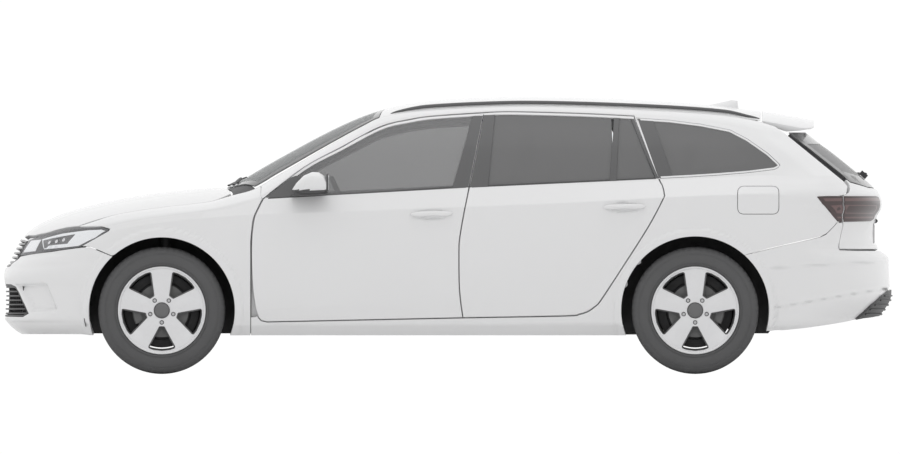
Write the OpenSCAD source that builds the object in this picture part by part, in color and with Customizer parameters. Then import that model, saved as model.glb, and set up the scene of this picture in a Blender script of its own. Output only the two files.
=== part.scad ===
// Five-door station wagon, four road wheels on the ground, nose towards -X.
// Left side of the car is -Y. Origin on the ground under the middle of the body.

/* [Body] */
// Half width of the body at the shoulder crease
half_w = 917; // [880:1:940]
// Height of the sill's lower edge above the ground
sill_z = 200; // [190:1:215]
// Thickness of the pressed body side, skin to inner panel
side_t = 58; // [50:1:62]
// Depth of a door below the window line
door_t = 105; // [80:1:115]
// Gap between a moving panel and its neighbours
shut_gap = 6; // [5.5:0.5:8]

/* [Wheels] */
// Distance from the origin to the front axle (negative is forward)
axle_front_x = -1513; // [-1520:1:-1505]
// Distance from the origin to the rear axle
axle_rear_x = 1314; // [1308:1:1320]
// Rolling radius of the tyre
tyre_r = 337; // [330:1:340]
// Section width of the tyre
tyre_w = 215; // [195:5:225]
// Half track, to the middle of the tyre
half_track = 790; // [780:1:795]
// Outer radius of the rim flange
rim_r = 233; // [228:1:236]
// Radius of the wheel opening in the front wing
arch_front_r = 387; // [380:1:400]
// Radius of the wheel opening in the rear side panel
arch_rear_r = 392; // [385:1:400]
// Pitch circle of the five wheel bolts
bolt_pcd = 112; // [108:1:114.3]

/* [Interior] */
// Height of the front seat cushions above the ground
seat_z = 520; // [480:5:560]
// Height of the load floor above the ground
load_floor_z = 590; // [560:5:620]

/* [Hidden] */

// ---------- guide curves: [x, value] in millimetres ----------
// height of the car along its centre line: hood, windshield, roof, spoiler
TOP = [[-2260,708],[-2211,763],[-2105,821],[-2000,862],[-1893,891],[-1787,916],[-1681,936],
    [-1575,953],[-1469,966],[-1363,977],[-1257,986],[-1160,992],[-1130,1003],[-1045,1055],
    [-939,1117],[-833,1176],[-727,1234],[-621,1289],[-515,1339],[-409,1381],[-303,1411],
    [-197,1432],[-91,1447],[40,1457],[200,1464],[400,1468],[600,1467],[800,1461],[1000,1453],
    [1200,1441],[1400,1424],[1600,1400],[1700,1388],[1800,1371],[1900,1352],[1950,1342]];
// height and half width of the edge of the top surface: hood edge, windshield edge, roof edge
EZ = [[-2255,716],[-2215,722],[-2100,750],[-1957,782],[-1755,844],[-1513,883],[-1350,901],
    [-1254,914],[-1149,944],[-1024,980],[-900,1052],[-404,1338],[-330,1366],[-200,1390],
    [0,1406],[280,1418],[433,1420],[700,1415],[1000,1404],[1300,1388],[1500,1370],[1600,1352],[1665,1335],[1796,1283],[2108,1030],[2250,915]];
EY = [[-2255,240],[-2215,460],[-2100,660],[-1957,772],[-1755,800],[-1513,800],[-1350,792],
    [-1254,780],[-1149,760],[-1024,745],[-900,728],[-404,640],[-330,625],[-200,612],[0,602],
    [280,596],[433,594],[700,590],[1000,584],[1300,574],[1500,566],[1600,562],[1665,564],[1796,586],[2108,690],[2250,700]];
// the same edge where the roof runs on into the spoiler
SZ = [[1400,1380],[1500,1370],[1600,1352],[1651,1345],[1800,1318],[1950,1290]];
SY = [[1400,570],[1500,566],[1600,562],[1651,558],[1800,548],[1950,535]];
// half width of the tail before its corners are rounded: [z, y]
UT = [[190,815],[255,862],[330,870],[500,878],[700,888],[900,894],[955,893],[1000,868],[1040,838],
    [1100,800],[1187,755],[1251,720],[1340,670]];
// plan half width at the shoulder crease
PW = [[-2400,862],[-2100,878],[-1800,893],[-1400,908],[-900,914],[0,917],[900,915],[1500,905],
    [1900,890],[2400,862]];
// height of the lower door crease, of the shoulder crease, of the window line and of the window top line
ZL = [[-2400,330],[-1100,334],[-1000,338],[67,408],[813,474],[1300,500],[2400,500]];
ZC = [[-2350,600],[-2200,640],[-2000,700],[-1800,752],[-1600,790],[-1400,815],[-1200,832],
    [-1024,845],[-500,862],[67,885],[600,905],[1154,935],[1540,950],[1900,945],[2108,920],[2250,860]];
ZB = [[-2350,625],[-2200,665],[-2000,725],[-1800,777],[-1600,815],[-1400,842],[-1200,868],
    [-1100,892],[-976,931],[-637,945],[120,984],[600,1003],[1127,1026],[1445,1042],[1700,1052],[1960,1030],[2108,955],[2250,885]];
ZT = [[-2350,630],[-2200,670],[-2000,730],[-1800,782],[-1600,820],[-1400,847],[-1200,875],
    [-1100,900],[-976,938],[-759,1094],[-560,1200],[-353,1307],[-200,1345],[-70,1364],[195,1383],
    [338,1387],[700,1378],[990,1364],[1345,1341],[1500,1322],[1600,1300],[1665,1285],[1796,1240],[2108,1000],[2250,900]];
// outline of the nose and of the tail on the centre line: [z, x]
XF = [[190,-2235],[233,-2300],[265,-2332],[297,-2345],[329,-2340],[456,-2338],[488,-2346],
    [519,-2349],[551,-2344],[594,-2320],[625,-2307],[668,-2286],[705,-2264],[722,-2250],
    [760,-2215],[820,-2105]];
XR = [[190,2215],[265,2260],[297,2275],[329,2300],[392,2341],[456,2349],[551,2347],[615,2338],
    [640,2312],[665,2282],[710,2273],[774,2272],[837,2278],[870,2297],[901,2304],[933,2299],
    [965,2283],[996,2251],[1028,2219],[1124,2103],[1187,2023],[1251,1933],[1283,1896],[1340,1800]];
RF = 480;

// smooth curve through a guide table
function seg(x, t, i = 0) = (i >= len(t) - 2 || x < t[i + 1][0]) ? i : seg(x, t, i + 1);
function tan_at(t, i) = i == 0 ? (t[1][1] - t[0][1]) / (t[1][0] - t[0][0])
    : i == len(t) - 1 ? (t[i][1] - t[i - 1][1]) / (t[i][0] - t[i - 1][0])
    : (t[i + 1][1] - t[i - 1][1]) / (t[i + 1][0] - t[i - 1][0]);
function cv(x, t) = x <= t[0][0] ? t[0][1] : x >= t[len(t) - 1][0] ? t[len(t) - 1][1]
    : let (i = seg(x, t), h = t[i + 1][0] - t[i][0], s = (x - t[i][0]) / h,
           a = tan_at(t, i) * h, b = tan_at(t, i + 1) * h)
      (2 * s * s * s - 3 * s * s + 1) * t[i][1] + (s * s * s - 2 * s * s + s) * a
      + (3 * s * s - 2 * s * s * s) * t[i + 1][1] + (s * s * s - s * s) * b;
function mix(a, b, s) = a + (b - a) * s;
function clamp(v, a, b) = min(b, max(a, v));

// side glass: half width at a height
function G(z) = 868 - 0.36 * (z - 980) - 0.0005 * (z - 980) * (z - 980);
function taper(x) = half_w - cv(x, PW);
function RR(z) = z < 900 ? 420 : z > 1050 ? 270 : 420 - (z - 900);
// corner rounding of the nose and the tail in plan
function rnd(x, z) = let (f = clamp((x - cv(z, XF)) / RF, 0, 1), r = clamp((cv(z, XR) - x) / RR(z), 0, 1))
    pow(max(1e-6, 1 - pow(1 - f, 2.2)), 0.4) * pow(max(1e-6, 1 - pow(1 - r, 2.2)), 0.4);
// half width below the shoulder crease
function lowW(x, z) = let (p = cv(x, PW), zl = cv(x, ZL), zc = cv(x, ZC))
    z < 255 ? p - mix(78, 38, clamp((z - 195) / 60, 0, 1))
    : z < zl ? p - mix(38, 23, (z - 255) / (zl - 255))
    : let (s = clamp((z - zl) / (zc - zl), 0, 1)) p - 23 * (1 - s) + 20 * s * (1 - s);
function W(x, z) = x > 1900 ? cv(z, UT) * rnd(x, z) : x > 1600 ? let (s = (x - 1600) / 300) mix(W0(x, z), cv(z, UT) * rnd(x, z), s * s * (3 - 2 * s)) : W0(x, z);
function W0(x, z) = let (zc = cv(x, ZC), zb = cv(x, ZB), zt = cv(x, ZT), ze = cv(x, EZ), ye = cv(x, EY))
    z <= zc ? lowW(x, z) * rnd(x, z)
    : let (pc = lowW(x, zc) * rnd(x, zc), k = rnd(x, z),
           yb = x < -1300 ? pc - 6 : min(pc - 6, (G(zb) - taper(x)) * rnd(x, zb)),
           yt = x < -1100 ? yb - 2 : (G(zt) - taper(x)) * rnd(x, zt))
      z <= zb ? mix(pc, yb, (z - zc) / (zb - zc))
      : z <= zt ? (x < -1100 ? mix(yb, yt, (z - zb) / (zt - zb)) : (G(z) - taper(x)) * k)
      : let (y1 = min(yb - 1, yt), s = clamp((z - zt) / max(1, ze - zt), 0, 1), yy = min(ye, y1 - 4))
        yy + (y1 - yy) * pow(max(0, 1 - pow(s, 1.7)), 0.6);
// top surface
function ey(x) = x < 1500 ? cv(x, EY) : cv(x, SY);
function T(x, y) = let (u = min(1.1, abs(y) / ey(x)), t = cv(x, TOP), ez = x < 1500 ? cv(x, EZ) : cv(x, SZ))
    t - (t - ez) * (0.45 * u * u + 0.55 * pow(u, 7));
// nose and tail: x at a half width and height
function Fx(y, z) = let (w = lowW(-2100, z)) cv(z, XF) + RF * (1 - pow(max(0, 1 - pow(min(1, abs(y) / w), 2.5)), 1 / 2.2));

// ---------- closed shell between two point grids ----------
module shell(A, B) {
    nu = len(A); nv = len(A[0]);
    pts = concat([for (r = A) each r], [for (r = B) each r]);
    o = nu * nv;
    polyhedron(pts, concat(
        [for (i = [0:nu - 2]) for (j = [0:nv - 2]) each [[i * nv + j, (i + 1) * nv + j, i * nv + j + 1], [(i + 1) * nv + j, (i + 1) * nv + j + 1, i * nv + j + 1]]],
        [for (i = [0:nu - 2]) for (j = [0:nv - 2]) each [[o + i * nv + j, o + i * nv + j + 1, o + (i + 1) * nv + j], [o + (i + 1) * nv + j, o + i * nv + j + 1, o + (i + 1) * nv + j + 1]]],
        [for (i = [0:nu - 2]) each [[i * nv, o + i * nv, (i + 1) * nv], [(i + 1) * nv, o + i * nv, o + (i + 1) * nv],
            [i * nv + nv - 1, (i + 1) * nv + nv - 1, o + i * nv + nv - 1], [(i + 1) * nv + nv - 1, o + (i + 1) * nv + nv - 1, o + i * nv + nv - 1]]],
        [for (j = [0:nv - 2]) each [[j, j + 1, o + j], [j + 1, o + j + 1, o + j],
            [(nu - 1) * nv + j, o + (nu - 1) * nv + j, (nu - 1) * nv + j + 1], [(nu - 1) * nv + j + 1, o + (nu - 1) * nv + j, o + (nu - 1) * nv + j + 1]]]), convexity = 10);
}
module shell_r(A, B) shell(B, A);
// side point at depth d under the surface, right side (+Y)
function sp(x, z, d) = let (s = (W(x, z + 2) - W(x, z - 2)) / 4, n = sqrt(1 + s * s))
    [x, W(x, z) - d / n, z + d * s / n];
// side levels at a station
function lev(x, top) = let (zl = cv(x, ZL), zc = cv(x, ZC), zb = cv(x, ZB), zt = max(zb + 4, cv(x, ZT)), ze = max(zt + 6, cv(x, EZ)))
    concat([sill_z, 255, zl, mix(zl, zc, 0.35), mix(zl, zc, 0.7), zc, zb], top < 1 ? [] : [mix(zb, zt, 0.33), mix(zb, zt, 0.67), zt],
        top < 2 ? [] : [mix(zt, ze, 0.5), mix(zt, ze, 0.82), ze]);
module side_slab(xs, top, a, b) shell([for (x = xs) [for (z = lev(x, top)) sp(x, z, a)]], [for (x = xs) [for (z = lev(x, top)) sp(x, z, b)]]);
function steps(a, b, n) = [for (i = [0:n]) mix(a, b, i / n)];
// outline in side view pushed through the right side of the car
module cutter(p, y0 = 300, y1 = 1200) translate([0, y1, 0]) rotate([90, 0, 0]) linear_extrude(height = y1 - y0) polygon(p);
module cut_off(p, d, y0 = 300, y1 = 1200) translate([0, y1, 0]) rotate([90, 0, 0]) linear_extrude(height = y1 - y0) offset(delta = d) polygon(p);
module left() mirror([0, 1, 0]) children();
module both() { children(); mirror([0, 1, 0]) children(); }

// ---------- outlines in side view: [x, z] ----------
FDOOR = [[-976,928],[-1000,880],[-1024,821],[-1037,705],[-1037,560],[-1030,440],[-1015,340],[-1000,292],[-955,275],
    [83,297],[65,445],[62,640],[66,720],[88,850],[115,984],[155,1180],[192,1383],[195,1386],[-70,1368],[-200,1349],[-353,1311],[-560,1203],[-759,1096]];
RDOOR = [[83,297],[620,307],[746,329],[800,370],[813,385],[900,520],[1060,770],[1143,925],[1150,955],[1140,1000],[1122,1035],[1060,1190],[989,1368],
    [700,1382],[338,1391],[195,1386],[192,1383],[155,1180],[115,984],[88,850],[66,720],[62,640],[65,445]];
FGLASS = [[-900,962],[-775,1056],[-560,1170],[-353,1278],[-200,1318],[0,1341],[125,1348],[84,1160],[40,1003],[-637,968]];
RGLASS = [[245,1348],[500,1350],[860,1338],[870,1330],[930,1180],[975,1062],[960,1048],[220,1013]];
QGLASS = [[1180,1050],[1080,1310],[1345,1310],[1490,1285],[1580,1235],[1690,1160],[1745,1115],[1735,1092],[1600,1075],[1440,1062]];
FLAP = [[1540,860],[1540,985],[1550,995],[1747,995],[1757,985],[1757,860],[1747,848],[1550,848]];

// ---------- body ----------
module arch(x, r) translate([x, 0, tyre_r]) rotate([90, 0, 0]) cylinder(h = 2400, r = r, center = true, $fn = 48);

module side_frame() {
    resize([0, 0, 0]) difference() {
        union() {
            difference() {
                intersection() {
                    side_slab(concat(steps(-1045, -404, 7), steps(-330, 1640, 20), [1720, 1796, 1880, 1980, 2060, 2130]), 2, 0, side_t);
                    cutter([[-1043,150],[-1043,1600],[1662,1600],[1662,1366],[1789,1276],[2100,1022],[2122,996],[2117,962],[2098,948],[1953,946],[2066,799],[2090,799],[2069,700],[2069,658],[1908,656],[1740,608],[1640,598],[1560,150]]);
                }
                cut_off(FDOOR, shut_gap / 2);
                cut_off(RDOOR, shut_gap / 2);
            }
            difference() {
                intersection() {
                    side_slab(steps(-1051, 1179, 13), 2, 30, side_t + 14);
                    cutter([[-1040,247],[-1040,905],[-900,1032],[-790,1094],[-404,1316],[-330,1344],[-200,1370],[0,1387],[280,1400],[700,1397],[1000,1386],[1168,1376],[1172,1000],[1170,930],[840,360],[760,247]]);
                }
                cut_off(FDOOR, -24);
                cut_off(RDOOR, -24);
            }
        }
        arch(axle_rear_x, arch_rear_r);
        cutter(QGLASS);
    }
}
module flap_pocket() intersection() {
    side_slab([1500, 1560, 1620, 1680, 1740, 1800], 1, -20, 32);
    cut_off(FLAP, 5.5);
}
module side_frame_left() color("white") left() resize([0, 0, 0]) difference() { side_frame(); flap_pocket(); }
module side_frame_right() color("white") side_frame();
module fuel_flap() color("white") left() resize([0, 0, 0]) intersection() {
    side_slab([1500, 1560, 1620, 1680, 1740, 1800], 1, 0, 6);
    cutter(FLAP);
}

// front wing: from the lamp and the bumper back to the door
module front_wings() color("white") both() resize([0, 0, 0]) difference() {
    intersection() {
        side_slab([-1960, -1900, -1840, -1780, -1720, -1660, -1600, -1540, -1480, -1420, -1360, -1300, -1254, -1200, -1149, -1100, -1060, -1024, -1000, -976], 2, 0, 22);
        cutter([[-1950,680],[-1957,790],[-1957,900],[-1600,960],[-1149,1040],[-990,1040],[-982,928],[-1006,880],[-1030,821],[-1043,705],[-1043,150],[-1300,150],[-1300,300],[-1750,620],[-1850,661],[-1895,680]]);
    }
    arch(axle_front_x, arch_front_r);
    cutter([[-1960,640],[-1960,780],[-1836,784],[-1785,772],[-1795,755],[-1936,668]]);
    cutter([[-1965,676],[-1880,684],[-1810,640],[-1780,560],[-1965,560]]);
}

// top panels on a grid of stations and cross fractions
module top_slab(xs, us, a, b, yo = 0) shell([for (x = xs) [for (u = us) [x, u * (ey(x) - yo), T(x, u * (ey(x) - yo)) - b]]],
    [for (x = xs) [for (u = us) [x, u * (ey(x) - yo), T(x, u * (ey(x) - yo)) - a]]]);
US = [-1, -0.93, -0.85, -0.7, -0.5, -0.25, 0, 0.25, 0.5, 0.7, 0.85, 0.93, 1];
module plan_cut(p) translate([0, 0, 100]) linear_extrude(height = 1600) union() { polygon(p); mirror([0, 1]) polygon(p); }

HOOD = [[-2243,-1],[-2240,240],[-2205,455],[-2150,575],[-2092,654],[-1957,766],[-1755,794],[-1513,794],[-1350,786],[-1254,773],[-1200,750],[-1149,706],[-1149,690],[-1160,500],[-1180,200],[-1183,-1]];
module hood() color("white") resize([0, 0, 0]) difference() {
    intersection() {
        top_slab([-2250, -2215, -2160, -2100, -2030, -1957, -1880, -1755, -1635, -1513, -1400, -1300, -1254, -1200, -1149, -1120], US, 0, 26);
        plan_cut(HOOD);
    }
}
WSHIELD = [[-1165,-1],[-1150,250],[-1110,500],[-1050,660],[-1020,715],[-960,706],[-404,620],[-360,610],[-345,400],[-330,150],[-328,-1]];
module windshield() color([0.5, 0.55, 0.6, 0.5]) resize([0, 0, 0]) intersection() {
    top_slab([-1175, -1130, -1080, -1024, -950, -850, -750, -650, -550, -450, -404, -360, -320], US, 2, 8);
    plan_cut(WSHIELD);
}
module roof_panel() color("white") resize([0, 0, 0]) intersection() {
    top_slab(concat([-420, -404, -370, -330, -260, -200], steps(-100, 1600, 17), [1662, 1700]), US, 0, 40, 24);
    plan_cut([[-326,-1],[-328,150],[-343,400],[-358,612],[-200,660],[1662,620],[1662,-1]]);
}

// bumpers: plan stations round the corner, u from -1 to 1
function nose(u, z, d) = let (a = min(1, abs(u) / 0.75), w = lowW(-2100, z), sg = u < 0 ? -1 : 1, th = 90 * a,
        x0 = cv(z, XF), xc = x0 + RF * (1 - pow(cos(th), 2 / 2.2)), yc = w * pow(sin(th), 0.8),
        x = abs(u) <= 0.75 ? xc : mix(x0 + RF, -1780, (abs(u) - 0.75) / 0.25), y = abs(u) <= 0.75 ? yc : W(x, z),
        nx = -pow(cos(th), 1.2) * 1.0, ny = pow(sin(th), 1.2), n = max(0.2, sqrt(nx * nx + ny * ny)))
    [x - d * nx / n, sg * (y - d * ny / n), z];
function tail(u, z, d) = let (a = min(1, abs(u) / 0.75), x0 = cv(z, XR), r = RR(z), w = cv(z, UT), sg = u < 0 ? -1 : 1, th = 90 * a,
        xc = x0 - r * (1 - pow(cos(th), 2 / 2.2)), yc = w * pow(sin(th), 0.8),
        x = abs(u) <= 0.75 ? xc : mix(x0 - r, 1560, (abs(u) - 0.75) / 0.25), y = abs(u) <= 0.75 ? yc : W(x, z),
        nx = pow(max(0, cos(th)), 1.2), ny = pow(sin(th), 1.2), n = max(0.2, sqrt(nx * nx + ny * ny)))
    [x - d * nx / n, sg * (y - d * ny / n), z];
NU = [-1, -0.9, -0.75, -0.66, -0.57, -0.48, -0.38, -0.28, -0.18, -0.08, 0, 0.08, 0.18, 0.28, 0.38, 0.48, 0.57, 0.66, 0.75, 0.9, 1];
NZ = [200, 233, 265, 297, 330, 400, 456, 519, 560, 594, 625, 668, 715];
module front_bumper() color("white") resize([0, 0, 0]) difference() {
    shell([for (u = NU) [for (z = NZ) nose(u, z, 0)]], [for (u = NU) [for (z = NZ) nose(u, z, 35)]]);
    arch(axle_front_x, arch_front_r);
    cutter([[-2400,730],[-2400,594],[-2309,594],[-2270,625],[-1940,672],[-1895,672],[-1750,612],[-1750,730]], -1200, 1200);
    translate([-2500, -430, 520]) cube([400, 860, 300]);
    translate([-2500, -560, 262]) cube([400, 1120, 150]);
}
module grille() color([0.2, 0.2, 0.21]) {
    resize([0, 0, 0]) intersection() {
        union() {
            shell([for (u = steps(-0.32, 0.32, 8)) [for (z = [515, 560, 594, 625, 668, 705]) nose(u, z, 20)]], [for (u = steps(-0.32, 0.32, 8)) [for (z = [515, 560, 594, 625, 668, 705]) nose(u, z, 34)]]);
            shell([for (u = steps(-0.45, 0.45, 10)) [for (z = [255, 300, 340, 420]) nose(u, z, 20)]], [for (u = steps(-0.45, 0.45, 10)) [for (z = [255, 300, 340, 420]) nose(u, z, 34)]]);
        }
        union() {
            translate([-2500, -429, 521]) cube([400, 858, 174]);
            translate([-2500, -559, 263]) cube([400, 1118, 148]);
        }
    }
}
module rear_bumper() color("white") resize([0, 0, 0]) difference() {
    shell_r([for (u = NU) [for (z = [205, 255, 297, 330, 400, 470, 551, 600, 640, 652]) tail(u, z, 0)]], [for (u = NU) [for (z = [205, 255, 297, 330, 400, 470, 551, 600, 640, 652]) tail(u, z, 35)]]);
    arch(axle_rear_x, arch_rear_r);
    cutter([[1500,700],[1500,590],[1646,592],[1746,602],[1911,648],[1980,648],[1980,700]], -1200, 1200);
    cutter([[1500,150],[1700,228],[2150,285],[2400,300],[2400,150]], -1200, 1200);
    cutter([[1500,150],[1565,150],[1645,603],[1500,603]], -1200, 1200);
}
module headlights() color([0.85, 0.87, 0.9]) both() resize([0, 0, 0]) difference() {
    lamp();
    intersection() {
        top_slab([-2262, -2215, -2160, -2100, -2030, -1957, -1880, -1755, -1700], US, -20, 32, -14);
        translate([0, 0, 100]) linear_extrude(height = 1600) offset(delta = 5) polygon(HOOD);
    }
}
module lamp() intersection() {
    shell([for (u = steps(0.3, 0.95, 12)) [for (z = [560, 600, 640, 680, 715, 745, 775]) nose(u, z, 1)]], [for (u = steps(0.3, 0.95, 12)) [for (z = [560, 600, 640, 680, 715, 745, 775]) nose(u, z, 60)]]);
    union() {
        cutter([[-2270,627],[-1941,674],[-1800,757],[-1792,768],[-1835,778],[-1957,776],[-2100,744],[-2205,716],[-2235,712],[-2300,600]], 440, 1000);
    }
}
module tail_lights() color([0.55, 0.08, 0.08]) both() resize([0, 0, 0]) intersection() {
    shell_r([for (u = steps(0.5, 0.95, 9)) [for (z = [780, 830, 870, 901, 930, 960]) tail(u, z, 0)]], [for (u = steps(0.5, 0.95, 9)) [for (z = [780, 830, 870, 901, 930, 960]) tail(u, z, 40)]]);
    cutter([[1962,940],[2090,942],[2090,806],[2070,806]], 300, 1200);
}
module quarter_windows() color([0.25, 0.27, 0.3]) both() resize([0, 0, 0]) intersection() {
    side_slab(steps(1050, 1770, 9), 2, 4, 9);
    cut_off(QGLASS, -2);
}
module roof_rails() color([0.2, 0.2, 0.2]) both() resize([0, 0, 0]) {
    for (i = [0:9]) let (x0 = -230 + i * 188, x1 = x0 + 188)
        hull() for (x = [x0, x1]) translate([x, ey(x) - 22, T(x, ey(x) - 22) + 5]) rotate([90, 0, 0]) translate([-0.5, 0, -9]) cube([1, 20, 18]);
}

// lid at the back, with its spoiler
function tx(y, z) = cv(z, XR) - RR(z) * (1 - pow(max(0, 1 - pow(min(1, abs(y) / cv(z, UT)), 2.5)), 1 / 2.2));
module tail_face(f, zs, a, b) shell_r([for (u = [-1, -0.9, -0.75, -0.55, -0.3, 0, 0.3, 0.55, 0.75, 0.9, 1]) [for (z = zs) let (y = u * f * cv(z, UT)) [tx(y, z) - a, y, z]]],
    [for (u = [-1, -0.9, -0.75, -0.55, -0.3, 0, 0.3, 0.55, 0.75, 0.9, 1]) [for (z = zs) let (y = u * f * cv(z, UT)) [tx(y, z) - b, y, z]]]);
ZTG = [660, 690, 774, 837, 870, 901, 933, 965, 996, 1028, 1076, 1124, 1187, 1251, 1300];
module tailgate() color("white") resize([0, 0, 0]) difference() {
    union() {
        intersection() {
            tail_face(0.93, ZTG, 0, 50);
            cutter([[1772,1310],[1798,1287],[2111,1030],[2134,1000],[2128,960],[2100,942],[2096,780],[2075,700],[2075,662],[2500,662],[2500,1310]], -1200, 1200);
        }
        intersection() {
            top_slab([1640, 1700, 1760, 1820, 1880, 1945], US, 0, 60);
            plan_cut([[1669,-1],[1669,530],[1800,530],[1941,500],[1943,-1]]);
        }
    }
    // rear window opening
    translate([1700, 0, 0]) rotate([90, 0, 90]) linear_extrude(height = 900) polygon([[-560,1255],[560,1255],[700,1000],[640,965],[-640,965],[-700,1000]]);
    for (m = [-1, 1]) translate([1800, m * 520 - 0, 0]) rotate([90, 0, 90]) linear_extrude(height = 900) polygon(m > 0 ? [[0,812],[40,800],[420,800],[420,942],[0,942]] : [[0,812],[-40,800],[-420,800],[-420,942],[0,942]]);
}
module rear_window() color([0.3, 0.32, 0.35]) resize([0, 0, 0]) intersection() {
    tail_face(0.92, [950, 965, 996, 1028, 1076, 1124, 1187, 1251, 1270], 4, 12);
    translate([1700, 0, 0]) rotate([90, 0, 90]) linear_extrude(height = 900) polygon([[-557,1252],[557,1252],[696,1001],[638,968],[-638,968],[-696,1001]]);
    cutter([[1700,1310],[1815,1287],[2128,1030],[2140,1000],[2140,900],[2500,900],[2500,1310]], -1200, 1200);
}
module tailgate_lights() color([0.55, 0.08, 0.08]) both() resize([0, 0, 0]) intersection() {
    shell_r([for (u = steps(0.3, 0.75, 8)) [for (z = [795, 830, 870, 901, 930, 950]) tail(u, z, 0)]], [for (u = steps(0.3, 0.75, 8)) [for (z = [795, 830, 870, 901, 930, 950]) tail(u, z, 40)]]);
    translate([1800, 0, 0]) rotate([90, 0, 90]) linear_extrude(height = 900) polygon([[522,813],[560,802],[935,802],[935,940],[522,940]]);
    cutter([[2107,940],[2107,806],[2400,806],[2400,940]], 300, 1200);
}

// ---------- doors ----------
module door(P, G1, xs) resize([0, 0, 0]) difference() {
    union() {
        intersection() { side_slab(xs, 1, 0, 25); cut_off(P, -shut_gap / 2); }
        intersection() { side_slab(xs, 1, 15, door_t); cut_off(P, -31); cutter([[-2000,200],[-2000,925],[-637,938],[120,977],[600,996],[1127,1019],[2000,1050],[2000,200]]); }
        intersection() { side_slab([for (x = xs) x + 7], 1, 19, 45); cut_off(P, -34); }
    }
    cutter(G1);
}
XF1 = [-1045, -1010, -960, -900, -830, -759, -660, -560, -455, -353, -250, -150, -50, 50, 150, 210];
XR1 = [50, 110, 170, 250, 330, 410, 500, 590, 680, 770, 860, 950, 1040, 1110, 1160];
module front_door_right() color("white") door(FDOOR, FGLASS, XF1);
module front_door_left() color("white") left() door(FDOOR, FGLASS, XF1);
module rear_door_right() color("white") door(RDOOR, RGLASS, XR1);
module rear_door_left() color("white") left() door(RDOOR, RGLASS, XR1);
module pane(G1, xs) resize([0, 0, 0]) intersection() { side_slab(xs, 1, 14, 19); cut_off(G1, -1); }
module front_door_glass_right() color([0.5, 0.55, 0.6, 0.5]) pane(FGLASS, XF1);
module front_door_glass_left() color([0.5, 0.55, 0.6, 0.5]) left() pane(FGLASS, XF1);
module rear_door_glass_right() color([0.3, 0.32, 0.35]) pane(RGLASS, XR1);
module rear_door_glass_left() color([0.3, 0.32, 0.35]) left() pane(RGLASS, XR1);
module mirror_body() {
    hull() {
        translate([-800, 960, 985]) scale([1.3, 1, 1]) sphere(r = 42, $fn = 24);
        translate([-735, 1012, 992]) scale([1.5, 1, 1.45]) sphere(r = 48, $fn = 24);
        translate([-690, 955, 1000]) rotate([0, 90, 0]) cylinder(h = 10, r = 60, $fn = 24);
        translate([-690, 1000, 1000]) rotate([0, 90, 0]) cylinder(h = 10, r = 62, $fn = 24);
    }
    hull() {
        translate([-800, 905, 940]) cube([70, 20, 26]);
        translate([-790, 940, 958]) cube([60, 20, 22]);
    }
}
module mirror_right() color("white") resize([0, 0, 0]) difference() { mirror_body(); cutter([[-1000,800],[-1000,1200],[-600,1200],[-600,800]], 800, 898); }
module mirror_left() color("white") left() resize([0, 0, 0]) difference() { mirror_body(); cutter([[-1000,800],[-1000,1200],[-600,1200],[-600,800]], 800, 898); }

// ---------- under the skin ----------
module ycyl(x, z, y0, y1, r, f = 48) translate([x, y0, z]) rotate([-90, 0, 0]) cylinder(h = y1 - y0, r = r, $fn = f);
module floor_pan() color([0.3, 0.3, 0.31]) difference() {
    union() {
        translate([-1060, -765, 215]) cube([1720, 1530, 25]);
        translate([-1060, -720, 239]) cube([25, 1440, 640]);
        translate([-1036, -130, 239]) cube([1600, 260, 150]);
        translate([640, -765, 215]) cube([25, 1530, 130]);
        translate([640, -575, 320]) cube([560, 1150, 25]);
        translate([1175, -575, 320]) cube([25, 1150, load_floor_z - 320]);
        translate([1175, -575, load_floor_z - 25]) cube([965, 1150, 25]);
        translate([2115, -575, 380]) cube([25, 1150, load_floor_z - 380]);
        for (m = [-1, 1]) translate([-2200, m * 420 - 35, 470]) cube([1150, 70, 90]);
        translate([-2200, -500, 455]) cube([60, 1000, 110]);
    }
    translate([-1000, -95, 205]) cube([1700, 190, 150]);
}
module wheel_liners() color([0.12, 0.12, 0.12]) {
    for (m = [-1, 1]) for (q = [[axle_front_x, 420, 30], [axle_rear_x, 420, 20]])
        translate([q[0], m > 0 ? 600 : -800, tyre_r]) rotate([-90, 0, 0]) difference() {
            cylinder(h = 200, r = q[1], $fn = 64);
            translate([0, 0, -1]) cylinder(h = 202, r = q[1] - 8, $fn = 64);
            translate([-500, q[2] - 0, -2]) cube([1000, 500, 204]);
        }
}
module engine() color([0.35, 0.35, 0.36]) translate([-1860, -320, 300]) cube([480, 640, 480]);
module front_subframe() color([0.2, 0.2, 0.2]) {
    translate([-1700, -330, 215]) cube([600, 660, 50]);
    for (m = [-1, 1]) {
        translate([-1560, m > 0 ? 320 : -586, 222]) cube([90, 266, 30]);
        translate([-1340, m > 0 ? 320 : -440, 222]) cube([80, 120, 30]);
    }
}
module rear_axle() color([0.2, 0.2, 0.2]) difference() {
    union() {
        ycyl(1200, 287, -640, 640, 30);
        for (m = [-1, 1]) {
            translate([900, m * 560 - 35, 250]) cube([420, 70, 60]);
            ycyl(axle_rear_x, tyre_r, m > 0 ? 500 : -735, m > 0 ? 735 : -500, 60);
            ycyl(axle_rear_x, tyre_r, m > 0 ? 730 : -806, m > 0 ? 806 : -730, 28);
            translate([1390, m * 500 - 30, 250]) cylinder(h = 290, r = 28, $fn = 32);
            translate([1290, m * 500 - 30, 265]) cube([130, 60, 50]);
        }
    }
}
module exhaust() color([0.6, 0.6, 0.6]) {
    translate([-980, 0, 228]) rotate([0, 90, 0]) cylinder(h = 2600, r = 24, $fn = 32);
    translate([1600, 0, 300]) rotate([90, 0, 90]) linear_extrude(height = 380) offset(r = 60, $fn = 32) square([260, 30], center = true);
}
module fuel_tank() color([0.12, 0.12, 0.12]) for (m = [-1, 1]) translate([670, m * 290 - 230, 222]) cube([440, 460, 92]);
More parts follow.
